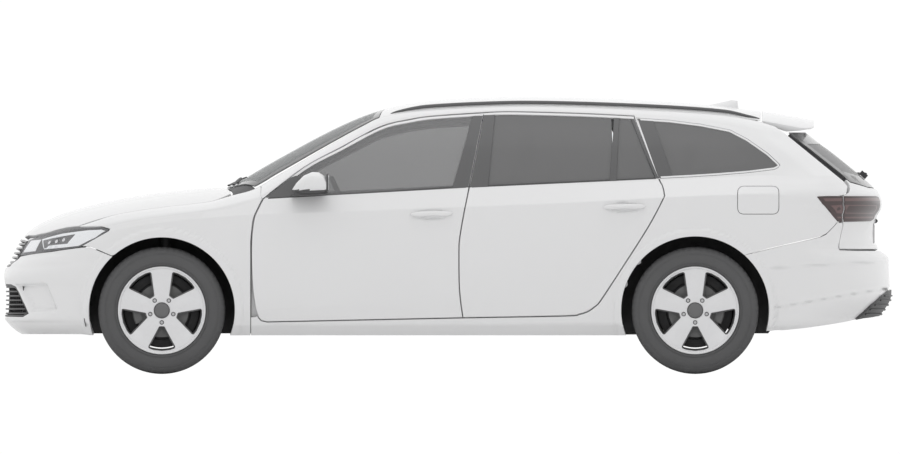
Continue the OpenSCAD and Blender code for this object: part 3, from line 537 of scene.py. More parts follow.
def panel(name, surf, loops, mat, body, nodes=(), step=13.0, vlines=None, roll=2.6, thick=14.0, inner=True,
          depth=0.0, edge_mat=None, hole_roll=None, back_mat=None, steps=3):
    """A pressed panel: outer skin, rolled edge, and a return flange down to its thickness, closed at the back."""
    outer = ccw(loops[0])
    L = [outer] + [ccw(h)[::-1].copy() for h in loops[1:]]
    rings = []
    for k, l in enumerate(L):
        rings.append(l)
    r = roll
    inset = [offset(l, r) for l in L]
    lo = np.concatenate(inset).min(0)
    hi = np.concatenate(inset).max(0)
    ua = grid_lines(lo[0], hi[0], step)
    vb = grid_lines(lo[1], hi[1], step) if vlines is None else vlines
    P, F, n0 = fill(inset, ua, vb)
    V = [surf.at(P[:, 0], P[:, 1], np.full(len(P), depth))]
    N = [surf.nrm(P[:, 0], P[:, 1])]
    faces = [tuple(f) for f in F]
    flip = False
    # orientation of the filled faces against the outward normal
    f0 = faces[len(faces) // 2]
    v0 = V[0]
    fn = np.cross(v0[f0[1]] - v0[f0[0]], v0[f0[2]] - v0[f0[0]])
    flip = float(fn @ N[0][f0[0]]) < 0
    if flip:
        faces = [f[::-1] for f in faces]
    fm = [0] * len(faces)
    total = len(P)
    offs = []
    o = 0
    starts = []
    for l in inset:
        starts.append(o)
        o += len(l)
    prev = [list(range(starts[k], starts[k] + len(L[k]))) for k in range(len(L))]
    prof = [(math.pi / 2 * q / steps) for q in range(1, steps + 1)]
    stages = [(r * (1 - math.sin(a)), r * (1 - math.cos(a)), a) for a in prof]
    for ins, dep, ang in stages + [(0.0, thick, math.pi / 2)]:
        cur = []
        for k, l in enumerate(L):
            q = offset(l, ins) if ins > 0 else l
            n = surf.nrm(q[:, 0], q[:, 1])
            p = surf.pt(q[:, 0], q[:, 1]) - n * (depth + dep)
            pin = surf.pt(inset[k][:, 0], inset[k][:, 1])
            out = surf.pt(l[:, 0], l[:, 1]) - pin
            out /= np.maximum(1e-9, np.linalg.norm(out, axis=1, keepdims=True))
            nn = n * math.cos(ang) + out * math.sin(ang)
            V.append(p)
            N.append(nn / np.maximum(1e-9, np.linalg.norm(nn, axis=1, keepdims=True)))
            ids = list(range(total, total + len(l)))
            total += len(l)
            cur.append(ids)
            m = len(l)
            for i in range(m):
                j = (i + 1) % m
                f = (prev[k][i], cur[k][i], cur[k][j], prev[k][j])
                faces.append(f[::-1] if flip else f)
                fm.append(1 if edge_mat and dep == thick else 0)
        prev = cur
    if inner:
        ua2 = grid_lines(lo[0], hi[0], step * 2.2)
        vb2 = grid_lines(lo[1], hi[1], step * 2.2) if vlines is None else vlines[::2]
        P2, F2, n2 = fill(L, ua2, vb2)
        n = surf.nrm(P2[:, 0], P2[:, 1])
        V.append(surf.pt(P2[:, 0], P2[:, 1]) - n * (depth + thick))
        N.append(-n)
        ids = {}
        faces += [tuple(total + k for k in (f if flip else f[::-1])) for f in F2]
        fm += [2 if back_mat else 0] * len(F2)
        total += len(P2)
    V = np.concatenate(V) / 1000.0
    N = np.concatenate(N)
    mats = [mat, edge_mat or mat, back_mat or mat]
    ob = new_mesh(name, V, faces, mats, fm, N)
    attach(ob, body)
    for nd in nodes:
        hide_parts(nd)
    return ob


def sweep(name, surf, loop, prof, mat, body, closed=True, smooth=True):
    """A strip along a loop; prof is a list of (inset, depth) pairs, joined into a closed ring if it closes."""
    l = ccw(loop)
    V, F = [], []
    n = len(l)
    m = len(prof)
    for ins, dep in prof:
        q = offset(l, ins) if abs(ins) > 1e-9 else l
        V.append(surf.pt(q[:, 0], q[:, 1]) - surf.nrm(q[:, 0], q[:, 1]) * dep)
    V = np.concatenate(V) / 1000.0
    ring = m if closed else m - 1
    for k in range(ring):
        k2 = (k + 1) % m
        for i in range(n):
            j = (i + 1) % n
            F.append((k * n + i, k * n + j, k2 * n + j, k2 * n + i))
    ob = new_mesh(name, V, F, [mat], smooth=False)
    fix_normals(ob)
    if smooth:
        soft(ob, 35)
    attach(ob, body)
    return ob


def fix_normals(ob):
    bm = bmesh.new()
    bm.from_mesh(ob.data)
    bmesh.ops.recalc_face_normals(bm, faces=bm.faces)
    bm.to_mesh(ob.data)
    bm.free()


def soft(ob, deg=35.0):
    """smooth shading with hard edges past an angle, stored in the mesh"""
    me = ob.data
    bm = bmesh.new()
    bm.from_mesh(me)
    for e in bm.edges:
        e.smooth = not (len(e.link_faces) == 2 and e.calc_face_angle(0) > math.radians(deg))
    for f in bm.faces:
        f.smooth = True
    bm.to_mesh(me)
    bm.free()
    return ob


# ------------------------------------------------------------------ materials
def mat(name, col, rough=0.5, metal=0.0, coat=0.0, coat_rough=0.05, noise=(40.0, 0.04), grain=None, sheen=0.0,
        var=0.06, emit=None, alpha=None):
    """noise=(scale, roughness swing); grain=(scale, bump strength, distance); var is colour variation"""
    m = bpy.data.materials.new(name)
    m.use_nodes = True
    nt = m.node_tree
    b = nt.nodes["Principled BSDF"]
    b.inputs["Base Color"].default_value = (*col, 1)
    b.inputs["Roughness"].default_value = rough
    b.inputs["Metallic"].default_value = metal
    b.inputs["Coat Weight"].default_value = coat
    b.inputs["Coat Roughness"].default_value = coat_rough
    if sheen:
        b.inputs["Sheen Weight"].default_value = sheen
    if emit:
        b.inputs["Emission Color"].default_value = (*emit[0], 1)
        b.inputs["Emission Strength"].default_value = emit[1]
    tc = nt.nodes.new("ShaderNodeTexCoord")
    n = nt.nodes.new("ShaderNodeTexNoise")
    n.inputs["Scale"].default_value = noise[0]
    n.inputs["Detail"].default_value = 5
    nt.links.new(tc.outputs["Object"], n.inputs["Vector"])
    r = nt.nodes.new("ShaderNodeMapRange")
    r.inputs["To Min"].default_value = max(0.0, rough - noise[1])
    r.inputs["To Max"].default_value = min(1.0, rough + noise[1])
    nt.links.new(n.outputs["Fac"], r.inputs["Value"])
    nt.links.new(r.outputs["Result"], b.inputs["Roughness"])
    c = nt.nodes.new("ShaderNodeMix")
    c.data_type = "RGBA"
    c.inputs["A"].default_value = (*[k * (1 - var) for k in col], 1)
    c.inputs["B"].default_value = (*[min(1, k * (1 + var)) for k in col], 1)
    n2 = nt.nodes.new("ShaderNodeTexNoise")
    n2.inputs["Scale"].default_value = noise[0] * 0.13
    n2.inputs["Detail"].default_value = 3
    nt.links.new(tc.outputs["Object"], n2.inputs["Vector"])
    nt.links.new(n2.outputs["Fac"], c.inputs["Factor"])
    nt.links.new(c.outputs["Result"], b.inputs["Base Color"])
    if grain:
        g = nt.nodes.new("ShaderNodeTexNoise" if len(grain) < 4 else "ShaderNodeTexVoronoi")
        g.inputs["Scale"].default_value = grain[0]
        nt.links.new(tc.outputs["Object"], g.inputs["Vector"])
        u = nt.nodes.new("ShaderNodeBump")
        u.inputs["Strength"].default_value = grain[1]
        u.inputs["Distance"].default_value = grain[2]
        nt.links.new(g.outputs["Fac"] if len(grain) < 4 else g.outputs["Distance"], u.inputs["Height"])
        nt.links.new(u.outputs["Normal"], b.inputs["Normal"])
    return m


def glass_mat(name, tint, body, share, rough=0.02):
    """window glass: part tinted clear, part a soft body tone, with a mirror coat"""
    m = bpy.data.materials.new(name)
    m.use_nodes = True
    nt = m.node_tree
    b = nt.nodes["Principled BSDF"]
    out = nt.nodes["Material Output"]
    b.inputs["Base Color"].default_value = (*body, 1)
    b.inputs["Roughness"].default_value = 0.35
    b.inputs["Coat Weight"].default_value = 0.6
    b.inputs["Coat Roughness"].default_value = rough
    tc = nt.nodes.new("ShaderNodeTexCoord")
    n = nt.nodes.new("ShaderNodeTexNoise")
    n.inputs["Scale"].default_value = 1.3
    nt.links.new(tc.outputs["Object"], n.inputs["Vector"])
    r = nt.nodes.new("ShaderNodeMapRange")
    r.inputs["To Min"].default_value = 0.31
    r.inputs["To Max"].default_value = 0.39
    nt.links.new(n.outputs["Fac"], r.inputs["Value"])
    nt.links.new(r.outputs["Result"], b.inputs["Roughness"])
    t = nt.nodes.new("ShaderNodeBsdfTransparent")
    t.inputs["Color"].default_value = (*tint, 1)
    x = nt.nodes.new("ShaderNodeMixShader")
    x.inputs["Fac"].default_value = share
    nt.links.new(t.outputs[0], x.inputs[1])
    nt.links.new(b.outputs[0], x.inputs[2])
    nt.links.new(x.outputs[0], out.inputs["Surface"])
    return m


def weave(name, col, scale=900.0, bump=0.5):
    m = mat(name, col, rough=0.9, noise=(60, 0.05), sheen=0.35, var=0.12)
    nt = m.node_tree
    b = nt.nodes["Principled BSDF"]
    tc = [n for n in nt.nodes if n.type == "TEX_COORD"][0]
    h = None
    for ax in ((1, 0.1, 0), (0.1, 0.3, 1)):
        w = nt.nodes.new("ShaderNodeTexWave")
        w.inputs["Scale"].default_value = scale / 6
        w.inputs["Distortion"].default_value = 0.4
        mp = nt.nodes.new("ShaderNodeMapping")
        mp.inputs["Rotation"].default_value = (0, 0, 0) if ax[0] == 1 else (0.2, math.pi / 2, 0.3)
        nt.links.new(tc.outputs["Object"], mp.inputs["Vector"])
        nt.links.new(mp.outputs["Vector"], w.inputs["Vector"])
        if h is None:
            h = w
        else:
            a = nt.nodes.new("ShaderNodeMath")
            a.operation = "ADD"
            nt.links.new(h.outputs["Fac"], a.inputs[0])
            nt.links.new(w.outputs["Fac"], a.inputs[1])
            u = nt.nodes.new("ShaderNodeBump")
            u.inputs["Strength"].default_value = bump
            u.inputs["Distance"].default_value = 0.0006
            nt.links.new(a.outputs[0], u.inputs["Height"])
            nt.links.new(u.outputs["Normal"], b.inputs["Normal"])
    return m


PAINT = mat("paint_white", (0.83, 0.83, 0.835), 0.42, coat=0.55, coat_rough=0.09, noise=(9, 0.03), var=0.012,
            grain=(3200.0, 0.015, 0.0002))
# painted shade: a darker copy of the white body paint for inner and hidden faces (panel backs, door jambs, hood ribs,
# handle feet)
PAINT_SHADE_INNER = mat("paint_white_inner", (0.74, 0.74, 0.745), 0.5, coat=0.3, coat_rough=0.15, noise=(30, 0.05), var=0.03)
# painted shade: a still darker copy of the white body paint for recesses; not given to any part
PAINT_SHADE_RECESS = mat("paint_recess", (0.60, 0.60, 0.605), 0.5, coat=0.3, coat_rough=0.15, noise=(30, 0.05), var=0.03)
GREYTRIM = mat("gloss_grey_trim", (0.105, 0.105, 0.107), 0.35, coat=0.4, noise=(25, 0.05), var=0.06)
DARKLINE = mat("window_seal_rubber", (0.075, 0.075, 0.077), 0.6, noise=(80, 0.08), grain=(900, 0.2, 0.0005))
BLACKP = mat("black_grained_plastic", (0.085, 0.085, 0.087), 0.62, noise=(70, 0.08), grain=(1400, 0.35, 0.0006, 1))
MESHP = mat("grille_plastic", (0.07, 0.07, 0.072), 0.5, noise=(50, 0.08), grain=(1200, 0.2, 0.0005))
LINER = mat("wheel_liner_felt", (0.055, 0.055, 0.056), 0.9, noise=(90, 0.06), grain=(700, 0.6, 0.002), var=0.2)
RUBBER = mat("tyre_rubber", (0.098, 0.098, 0.10), 0.72, noise=(40, 0.08), grain=(600, 0.18, 0.0008), var=0.08)
ALLOY = mat("rim_silver_lacquer", (0.80, 0.80, 0.81), 0.36, metal=0.25, coat=0.5, coat_rough=0.12, noise=(500, 0.05), grain=(2600, 0.03, 0.0002), var=0.02)
# painted shade: a dark copy of the rim alloy for the pockets, spoke sides and backs, inner barrel and hub core
ALLOY_SHADE = mat("rim_pocket_grey", (0.17, 0.17, 0.172), 0.5, metal=0.2, noise=(60, 0.08), var=0.1)
CAPG = mat("hub_cap_grey", (0.14, 0.14, 0.142), 0.42, coat=0.3, noise=(60, 0.06), grain=(900, 0.1, 0.0004))
DISC = mat("brake_disc_steel", (0.20, 0.20, 0.20), 0.45, metal=0.6, noise=(30, 0.12), grain=(300, 0.2, 0.0006), var=0.15)
STEELB = mat("chassis_black_coat", (0.06, 0.06, 0.062), 0.55, noise=(35, 0.12), grain=(300, 0.25, 0.001), var=0.25)
UNDER = mat("underbody_sealer", (0.13, 0.13, 0.135), 0.8, noise=(22, 0.1), grain=(160, 0.6, 0.003), var=0.2)
EXH = mat("exhaust_stainless", (0.36, 0.34, 0.31), 0.42, metal=0.85, noise=(18, 0.16), grain=(240, 0.15, 0.0006), var=0.25)
ENG = mat("engine_cast_metal", (0.23, 0.23, 0.235), 0.55, metal=0.6, noise=(26, 0.12), grain=(260, 0.5, 0.0015), var=0.2)
DASH = mat("dash_soft_grain", (0.055, 0.055, 0.058), 0.7, noise=(60, 0.08), grain=(1500, 0.4, 0.0006, 1))
CARD = mat("door_card_grain", (0.10, 0.10, 0.104), 0.7, noise=(60, 0.08), grain=(1500, 0.4, 0.0006, 1))
LEATHER = mat("wheel_leather", (0.05, 0.05, 0.052), 0.5, noise=(80, 0.08), grain=(1100, 0.5, 0.0006, 1))
SATIN = mat("satin_trim_metal", (0.55, 0.55, 0.56), 0.3, metal=0.8, noise=(90, 0.06), var=0.04)
RAILM = mat("rail_dark_anodised", (0.13, 0.13, 0.132), 0.42, metal=0.3, noise=(200, 0.06), grain=(1800, 0.1, 0.0003), var=0.05)
CARPET = mat("floor_carpet", (0.05, 0.05, 0.052), 0.95, noise=(300, 0.04), grain=(800, 0.9, 0.003), var=0.3)
HEADLN = mat("roof_lining", (0.42, 0.42, 0.41), 0.95, noise=(300, 0.03), grain=(900, 0.4, 0.001), var=0.05)
SEATM = weave("seat_weave", (0.11, 0.11, 0.115))
SEATS = weave("seat_side_weave", (0.075, 0.075, 0.08), scale=600, bump=0.35)
STITCH = mat("seam_thread", (0.28, 0.28, 0.28), 0.8, noise=(300, 0.05), grain=(1500, 0.4, 0.0004))
DRL = mat("lamp_light_guide", (0.86, 0.87, 0.88), 0.35, coat=0.5, noise=(90, 0.05), var=0.03, emit=((0.9, 0.92, 0.95), 0.10))
LAMPD = mat("lamp_dark_housing", (0.09, 0.09, 0.092), 0.4, coat=0.4, noise=(50, 0.08), var=0.1)
LAMPM = mat("lamp_module_grey", (0.17, 0.17, 0.172), 0.35, coat=0.5, noise=(60, 0.06), var=0.1)
CHROME = mat("lamp_reflector", (0.75, 0.75, 0.76), 0.15, metal=0.95, noise=(60, 0.05), var=0.04)
REDD = mat("tail_lens_dark_red", (0.068, 0.046, 0.046), 0.34, coat=0.35, coat_rough=0.03, noise=(60, 0.05), var=0.08, grain=(700, 0.06, 0.0004))
REDB = mat("tail_lens_bar", (0.16, 0.10, 0.098), 0.3, coat=0.35, noise=(60, 0.05), var=0.06)
AMBER = mat("side_marker_amber", (0.75, 0.42, 0.10), 0.3, coat=0.6, noise=(60, 0.05), var=0.05)
PLATE = mat("blank_plate", (0.72, 0.72, 0.72), 0.45, noise=(40, 0.06), var=0.02)
MIRRORG = mat("mirror_glass_silver", (0.85, 0.86, 0.87), 0.04, metal=1.0, noise=(40, 0.02), var=0.01)
SCREEN = mat("display_glass", (0.02, 0.02, 0.024), 0.1, coat=0.6, noise=(40, 0.03), var=0.05)
WIPER = mat("wiper_black", (0.06, 0.06, 0.062), 0.55, noise=(90, 0.08), grain=(900, 0.2, 0.0004))
BOLT = mat("bolt_zinc", (0.55, 0.55, 0.56), 0.35, metal=0.7, noise=(120, 0.08), var=0.06)
PAD = mat("brake_caliper_grey", (0.22, 0.22, 0.22), 0.5, metal=0.4, noise=(50, 0.1), grain=(400, 0.3, 0.0008), var=0.12)
GLS = glass_mat("glass_clear_tint", (0.80, 0.80, 0.80), (0.42, 0.42, 0.425), 0.34)
GLSW = glass_mat("glass_windshield", (0.72, 0.73, 0.73), (0.30, 0.30, 0.305), 0.30)
GLSD = glass_mat("glass_privacy", (0.52, 0.52, 0.52), (0.30, 0.30, 0.303), 0.50)
LENS = glass_mat("lamp_cover_clear", (0.96, 0.96, 0.965), (0.80, 0.80, 0.81), 0.06)
FRIT = mat("glass_frit_black", (0.07, 0.07, 0.071), 0.3, coat=0.6, noise=(40, 0.04), grain=(2200, 0.05, 0.0002))

# carried-over CAD nodes
for node, m in (("floor_pan", UNDER), ("wheel_liners", LINER), ("engine", ENG), ("front_subframe", STEELB),
                ("rear_axle", STEELB), ("fuel_tank", BLACKP), ("dashboard", DASH),
                ("steering_wheel", LEATHER), ("knuckle_left", STEELB), ("knuckle_right", STEELB)):
    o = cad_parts[node]
    o.data.materials.clear()
    o.data.materials.append(m)


# ------------------------------------------------------------------ helpers for parts
def ride(ob, body, *nodes, slot=None):
    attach(ob, body)
    for n in nodes:
        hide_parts(n)
    return ob


def lathe(name, prof, center, axis_y, m, body, n=96, mats=None, fm=None, closed=True):
    """profile (r, w): w runs along the wheel's axis, outwards"""
    V, F, FM = [], [], []
    k = len(prof)
    for i in range(n):
        a = 2 * math.pi * i / n
        for r, w in prof:
            V.append(((center[0] + r * math.cos(a)) / 1000, (center[1] + axis_y * w) / 1000, (center[2] + r * math.sin(a)) / 1000))
    seg = k if closed else k - 1
    for i in range(n):
        for j in range(seg):
            a, b = i * k + j, i * k + (j + 1) % k
            c, d = ((i + 1) % n) * k + (j + 1) % k, ((i + 1) % n) * k + j
            F.append((a, b, c, d))
            FM.append(fm[j] if fm else 0)
    ob = new_mesh(name, V, F, mats or [m], FM, smooth=False)
    fix_normals(ob)
    soft(ob, 32)
    return ride(ob, body)


def prism(name, poly, z0, z1, place, m, body, bevel=0.0, seg=2, smooth=30.0):
    """closed outline pushed from z0 to z1; place maps (a, b, c) mm to the car's frame in mm"""
    p = ccw(np.asarray(poly, float))
    bm = bmesh.new()
    lo = [bm.verts.new((float(a) / 1000, float(b) / 1000, z0 / 1000)) for a, b in p]
    hi = [bm.verts.new((float(a) / 1000, float(b) / 1000, z1 / 1000)) for a, b in p]
    n = len(p)
    bm.faces.new(lo[::-1])
    bm.faces.new(hi)
    for i in range(n):
        j = (i + 1) % n
        bm.faces.new((lo[i], lo[j], hi[j], hi[i]))
    if bevel > 0:
        es = [e for e in bm.edges if e.calc_face_angle(0) > math.radians(25)]
        bmesh.ops.bevel(bm, geom=es, offset=bevel / 1000, segments=seg, affect="EDGES", clamp_overlap=True)
    for v in bm.verts:
        q = place(v.co.x * 1000, v.co.y * 1000, v.co.z * 1000)
        v.co = Vector((q[0] / 1000, q[1] / 1000, q[2] / 1000))
    me = bpy.data.meshes.new(name)
    bmesh.ops.triangulate(bm, faces=[f for f in bm.faces if len(f.verts) > 4])
    bmesh.ops.recalc_face_normals(bm, faces=bm.faces)
    bm.to_mesh(me)
    bm.free()
    me.materials.append(m)
    ob = bpy.data.objects.new(name, me)
    SC.collection.objects.link(ob)
    soft(ob, smooth)
    return ride(ob, body)


def sweep_tube(name, pts, rad, m, body, n=12, squash=(1.0, 1.0), taper=None, up=(0, 0, 1)):
    """closed round or oval bar along points in mm"""
    P = [Vector(p) for p in pts]
    V, F = [], []
    for i, p in enumerate(P):
        t = (P[min(i + 1, len(P) - 1)] - P[max(i - 1, 0)]).normalized()
        s = t.cross(Vector(up))
        s = s.normalized() if s.length > 1e-6 else Vector((1, 0, 0))
        u = s.cross(t).normalized()
        k = rad * (taper[i] if taper else 1.0)
        for j in range(n):
            a = 2 * math.pi * j / n
            V.append((p + s * (k * squash[0] * math.cos(a)) + u * (k * squash[1] * math.sin(a))) / 1000)
    for i in range(len(P) - 1):
        for j in range(n):
            F.append((i * n + j, i * n + (j + 1) % n, (i + 1) * n + (j + 1) % n, (i + 1) * n + j))
    F.append(tuple(range(n))[::-1])
    F.append(tuple((len(P) - 1) * n + j for j in range(n)))
    ob = new_mesh(name, V, F, [m], smooth=False)
    fix_normals(ob)
    soft(ob, 40)
    return ride(ob, body)


def block(name, lo, hi, m, body, bevel=4.0, seg=3, turn=None, about=None):
    """a rounded box between two corners in mm, turned about a point"""
    bm = bmesh.new()
    bmesh.ops.create_cube(bm, size=1.0)
    c = [(a + b) / 2000 for a, b in zip(lo, hi)]
    d = [abs(b - a) / 1000 for a, b in zip(lo, hi)]
    for v in bm.verts:
        v.co = Vector((c[0] + v.co.x * d[0], c[1] + v.co.y * d[1], c[2] + v.co.z * d[2]))
    bmesh.ops.bevel(bm, geom=list(bm.edges), offset=min(bevel / 1000, min(d) * 0.45), segments=seg, affect="EDGES")
    if turn is not None:
        o = Vector(about) / 1000 if about else Vector(c)
        bmesh.ops.transform(bm, verts=bm.verts, matrix=Matrix.Translation(o) @ turn.to_4x4() @ Matrix.Translation(-o))
    me = bpy.data.meshes.new(name)
    bm.to_mesh(me)
    bm.free()
    me.materials.append(m)
    ob = bpy.data.objects.new(name, me)
    SC.collection.objects.link(ob)
    soft(ob, 40)
    return ride(ob, body)


def mask(poly, x, z, w):
    """1 well inside a convex side-view polygon, falling to 0 over w mm inside its edge"""
    p = ccw(A(poly))
    d = np.full(np.broadcast(x, z).shape, 1e9)
    for i in range(len(p)):
        a, b = p[i], p[(i + 1) % len(p)]
        e = b - a
        L = np.hypot(*e)
        d = np.minimum(d, (e[0] * (z - a[1]) - e[1] * (x - a[0])) / L)
    return sst(d / w)


def dimpled(surf, fn):
    """the same surface pushed in along its normal by fn(x, y, z) mm"""
    def f(a, b):
        a, b = np.broadcast_arrays(np.asarray(a, float), np.asarray(b, float))
        p = surf.pt(a, b)
        q = p - surf.nrm(a, b) * fn(p[..., 0], p[..., 1], p[..., 2])[..., None]
        return q[..., 0], q[..., 1], q[..., 2]
    return Surf(f, surf.sgn, 2.0)


# ------------------------------------------------------------------ outlines
FDOOR = [[-976,928],[-1000,880],[-1024,821],[-1037,705],[-1037,560],[-1030,440],[-1015,340],[-1000,292],[-955,275],
    [83,297],[65,445],[62,640],[66,720],[88,850],[115,984],[155,1180],[192,1383],[195,1386],[-70,1368],[-200,1349],[-353,1311],[-560,1203],[-759,1096]]
RDOOR = [[83,297],[620,307],[746,329],[800,370],[813,385],[900,520],[1060,770],[1143,925],[1150,955],[1140,1000],[1122,1035],[1060,1190],[989,1368],
    [700,1382],[338,1391],[195,1386],[192,1383],[155,1180],[115,984],[88,850],[66,720],[62,640],[65,445]]
FGLASS = [[-900,962],[-775,1056],[-560,1170],[-353,1278],[-200,1318],[0,1341],[125,1348],[84,1160],[40,1003],[-637,968]]
RGLASS = [[245,1348],[500,1350],[860,1338],[870,1330],[930,1180],[975,1062],[960,1048],[220,1013]]
QGLASS = [[1180,1050],[1080,1310],[1345,1310],[1490,1285],[1580,1235],[1690,1160],[1745,1115],[1735,1092],[1600,1075],[1440,1062]]
FLAP = [[1540,860],[1540,985],[1550,995],[1747,995],[1757,985],[1757,860],[1747,848],[1550,848]]
BODYN = {-1: "left", 1: "right"}
VK = [0, 60, 150, 680, 780, 1180, 1260]
SM = {s: SideMap(VK, s) for s in (-1, 1)}


def spline(p, closed=True, n=6):
    """smooth curve through side-view points"""
    p = A(p)
    N = len(p)
    out = []
    rng = N if closed else N - 1
    for i in range(rng):
        p0, p1 = p[(i - 1) % N] if closed or i > 0 else p[i], p[i]
        p2 = p[(i + 1) % N]
        p3 = p[(i + 2) % N] if closed or i + 2 < N else p2
        for k in range(n):
            t = k / n
            out.append(0.5 * ((2 * p1) + (-p0 + p2) * t + (2 * p0 - 5 * p1 + 4 * p2 - p3) * t * t + (-p0 + 3 * p1 - 3 * p2 + p3) * t**3))
    if not closed:
        out.append(p[-1])
    return np.array(out)


def open_curve(p, n=6):
    return list(spline(p, closed=False, n=n))


# door edges drawn as smooth curves between their real corners
F_FRONT = open_curve([[-976,928],[-1000,880],[-1024,821],[-1037,705],[-1037,560],[-1030,440],[-1015,340]], 4)
F_BOT = [[-1000,297],[-985,282],[-955,275]]
B_SHUT = open_curve([[83,297],[65,445],[62,640],[66,720],[88,850],[115,984],[155,1180],[195,1386]], 4)
F_TOP = open_curve([[195,1386],[-70,1368],[-200,1349],[-353,1311],[-560,1203],[-759,1096],[-976,928]], 5)
R_BOT = open_curve([[83,297],[620,307],[700,316],[746,331],[785,358],[813,388],[900,520],[1060,770],[1143,925],[1150,955],[1140,1000],[1122,1035],[1060,1190],[989,1368]], 4)
R_TOP = open_curve([[989,1368],[700,1382],[338,1391],[195,1386]], 5)
FD = np.array(F_FRONT + F_BOT + B_SHUT + F_TOP[1:-1])
RD = np.array(R_BOT + R_TOP[1:-1] + B_SHUT[::-1][:-1])
OPEN = np.array(F_FRONT + F_BOT + R_BOT + R_TOP[1:] + F_TOP[1:-1])


def inz(p, d, step=12.0):
    """outline in side view, made dense and moved inwards by d"""
    return offset(ccw(dense(p, step)), d)


def tov(sm, p):
    return np.stack([p[:, 0], sm.v(p[:, 0], p[:, 1])], -1)


def below(p, line):
    """keep what is under a rising line [[x, z], [x, z]]"""
    return clip_half(p, line[1], line[0])


def above(p, line):
    return clip_half(p, line[0], line[1])


def belt(x):
    """bottom edge of the window glass, seen from the side"""
    return np.interp(x, [-976, -637, 25, 1010, 1140, 1440], [926, 941, 984, 1029, 1036, 1056])


def cut_poly(p, x0, x1, z0=None, z1=None):
    p = clip_half(p, [x0, 5000], [x0, -5000])
    return clip_half(p, [x1, -5000], [x1, 5000])


SHADOW = 3.0


def handle_cup(x, y, z):
    o = 0.0
    for cx, cz in ((-84, 842), (938, 880)):
        q = ((x - cx) / 92.0) ** 2 + ((z - cz) / 27.0) ** 2
        o = o + 16.0 * sst((1.0 - q) * 1.6) * (z < cz + 40)
    return o


def crease(x, y, z):
    """zero offset everywhere: no pressed steps along the shoulder or the sill"""
    return 0.0 * x


for s in (-1, 1):
    side = BODYN[s]
    sm = SM[s]
    S = dimpled(sm.surf(), lambda x, y, z: handle_cup(x, y, z))
    P0 = sm.surf()
    kn = [k + d for k in (150, 680, 780) for d in (-5, 0, 5)]
    VL = grid_lines(0, 1262, 14.0, extra=kn)
    for which, outl, shape in (("front", FD, FDOOR), ("rear", RD, RDOOR)):
        body = "%s_%s_door" % (which, side)
        node = "%s_door_%s" % (which, side)
        L0 = inz(outl, SHADOW)
        # opening for the glass: the outline moved in, above the window line
        fr = inz(outl, 15.0 if which == "front" else 15.0)
        if which == "front":
            ap = above(fr, [[-1100, float(belt(-1100))], [200, 987.0]])
            ap = above(fr, [[-985, 927], [60, 986]])
        else:
            ap = above(fr, [[60, 986], [1140, 1036]])
        ap = rounded(ap, 9.0, 3) if len(ap) < 400 else ap
        apv = tov(sm, dense(ap, 12))
        panel("door_skin_%s_%s" % (which, side), S, [tov(sm, L0), apv], PAINT, body, [node], step=14, vlines=VL,
              thick=24, back_mat=PAINT_SHADE_INNER)
        # inner structure below the window line, in the darker paint copy: painted shade
        low = below(inz(outl, 31), [[-1100, 905], [1200, 1012]] if which == "rear" else [[-1100, 905], [200, 968]])
        low = rounded(low, 14, 3)
        panel("door_inner_%s_%s" % (which, side), P0, [tov(sm, dense(low, 14))], PAINT_SHADE_INNER, body, [], step=26,
              roll=5, thick=78, depth=25, back_mat=CARD)
        # window frame behind the glass
        up = above(inz(outl, 5.0), [[-1100, 905], [1200, 1012]] if which == "rear" else [[-1100, 905], [200, 968]])
        gl = offset(ccw(dense(rounded(FGLASS if which == "front" else RGLASS, 22, 4), 12)), 3)
        panel("window_frame_%s_%s" % (which, side), P0, [tov(sm, dense(up, 12)), tov(sm, gl)], DARKLINE, body, [],
              step=24, roll=2, thick=26, depth=14)
        # glass
        pg = offset(ccw(dense(ap, 12)), 2.0)
        if which == "front":
            panes = [("a", clip_half(pg, [60, 900], [165, 1400]))]
        else:
            panes = [("a", clip_half(pg, [885, 1000], [868, 1400])), ("b", clip_half(pg, [880, 1400], [897, 1000]))]
        for tag, q in panes:
            panel("glass_%s_%s_%s" % (which, side, tag), P0, [tov(sm, dense(q, 12))],
                  GLS if which == "front" else GLSD, body,
                  ["%s_door_glass_%s" % (which, side)] if tag == "a" else [], step=26, roll=0.8, thick=5, depth=5,
                  steps=1)
        # dark trims on the pillar, the divider, and a seal line along the window's foot
        trims = []
        if which == "front":
            q = clip_half(clip_half(inz(outl, 4.0), [135, 1362], [26, 984]), [-985, 927], [60, 986])
            trims.append(("pillar", clip_half(q, [300, 1372], [-400, 1350])))
            trims.append(("sail", rounded([[-968, 933], [-800, 942], [-740, 945], [-742, 1006], [-800, 1052], [-830, 1040]], 6, 3)))
        else:
            q = clip_half(clip_half(inz(outl, 4.0), [215, 986], [252, 1370]), [60, 986], [1140, 1036])
            trims.append(("pillar", clip_half(q, [500, 1376], [100, 1371])))
            trims.append(("divider", [[862, 1022], [896, 1023], [911, 1356], [884, 1357]]))
            trims.append(("edge", [[1121, 1036], [1105, 1036], [1040, 1190], [974, 1352], [990, 1352], [1056, 1190]]))
        for tag, q in trims:
            panel("trim_%s_%s_%s" % (tag, which, side), P0, [tov(sm, dense(q, 12))], GREYTRIM, body, [], step=24,
                  roll=0.8, thick=6, depth=-0.9, steps=2)
        # seal along the foot of the glass
        a0, a1 = (-950, 60) if which == "front" else (100, 1125)
        xs = np.linspace(a0, a1, 50)
        zz = belt(xs)
        strip = np.concatenate([np.stack([xs, zz - 1.0], -1), np.stack([xs, zz + 9.0], -1)[::-1]])
        panel("belt_seal_%s_%s" % (which, side), P0, [tov(sm, strip)], DARKLINE, body, [], step=40, roll=1.0,
              thick=8, depth=0.5, steps=2)


# ------------------------------------------------------------------ fixed body: side frames, wings
def arch_pts(cx, r, z0, a0, a1, n=40):
    """points on a wheel opening from angle a0 to a1 in degrees"""
    return [[cx + r * math.cos(math.radians(a)), WR + r * math.sin(math.radians(a))] for a in np.linspace(a0, a1, n)]


def ang(cx, x, z):
    return math.degrees(math.atan2(z - WR, x - cx))


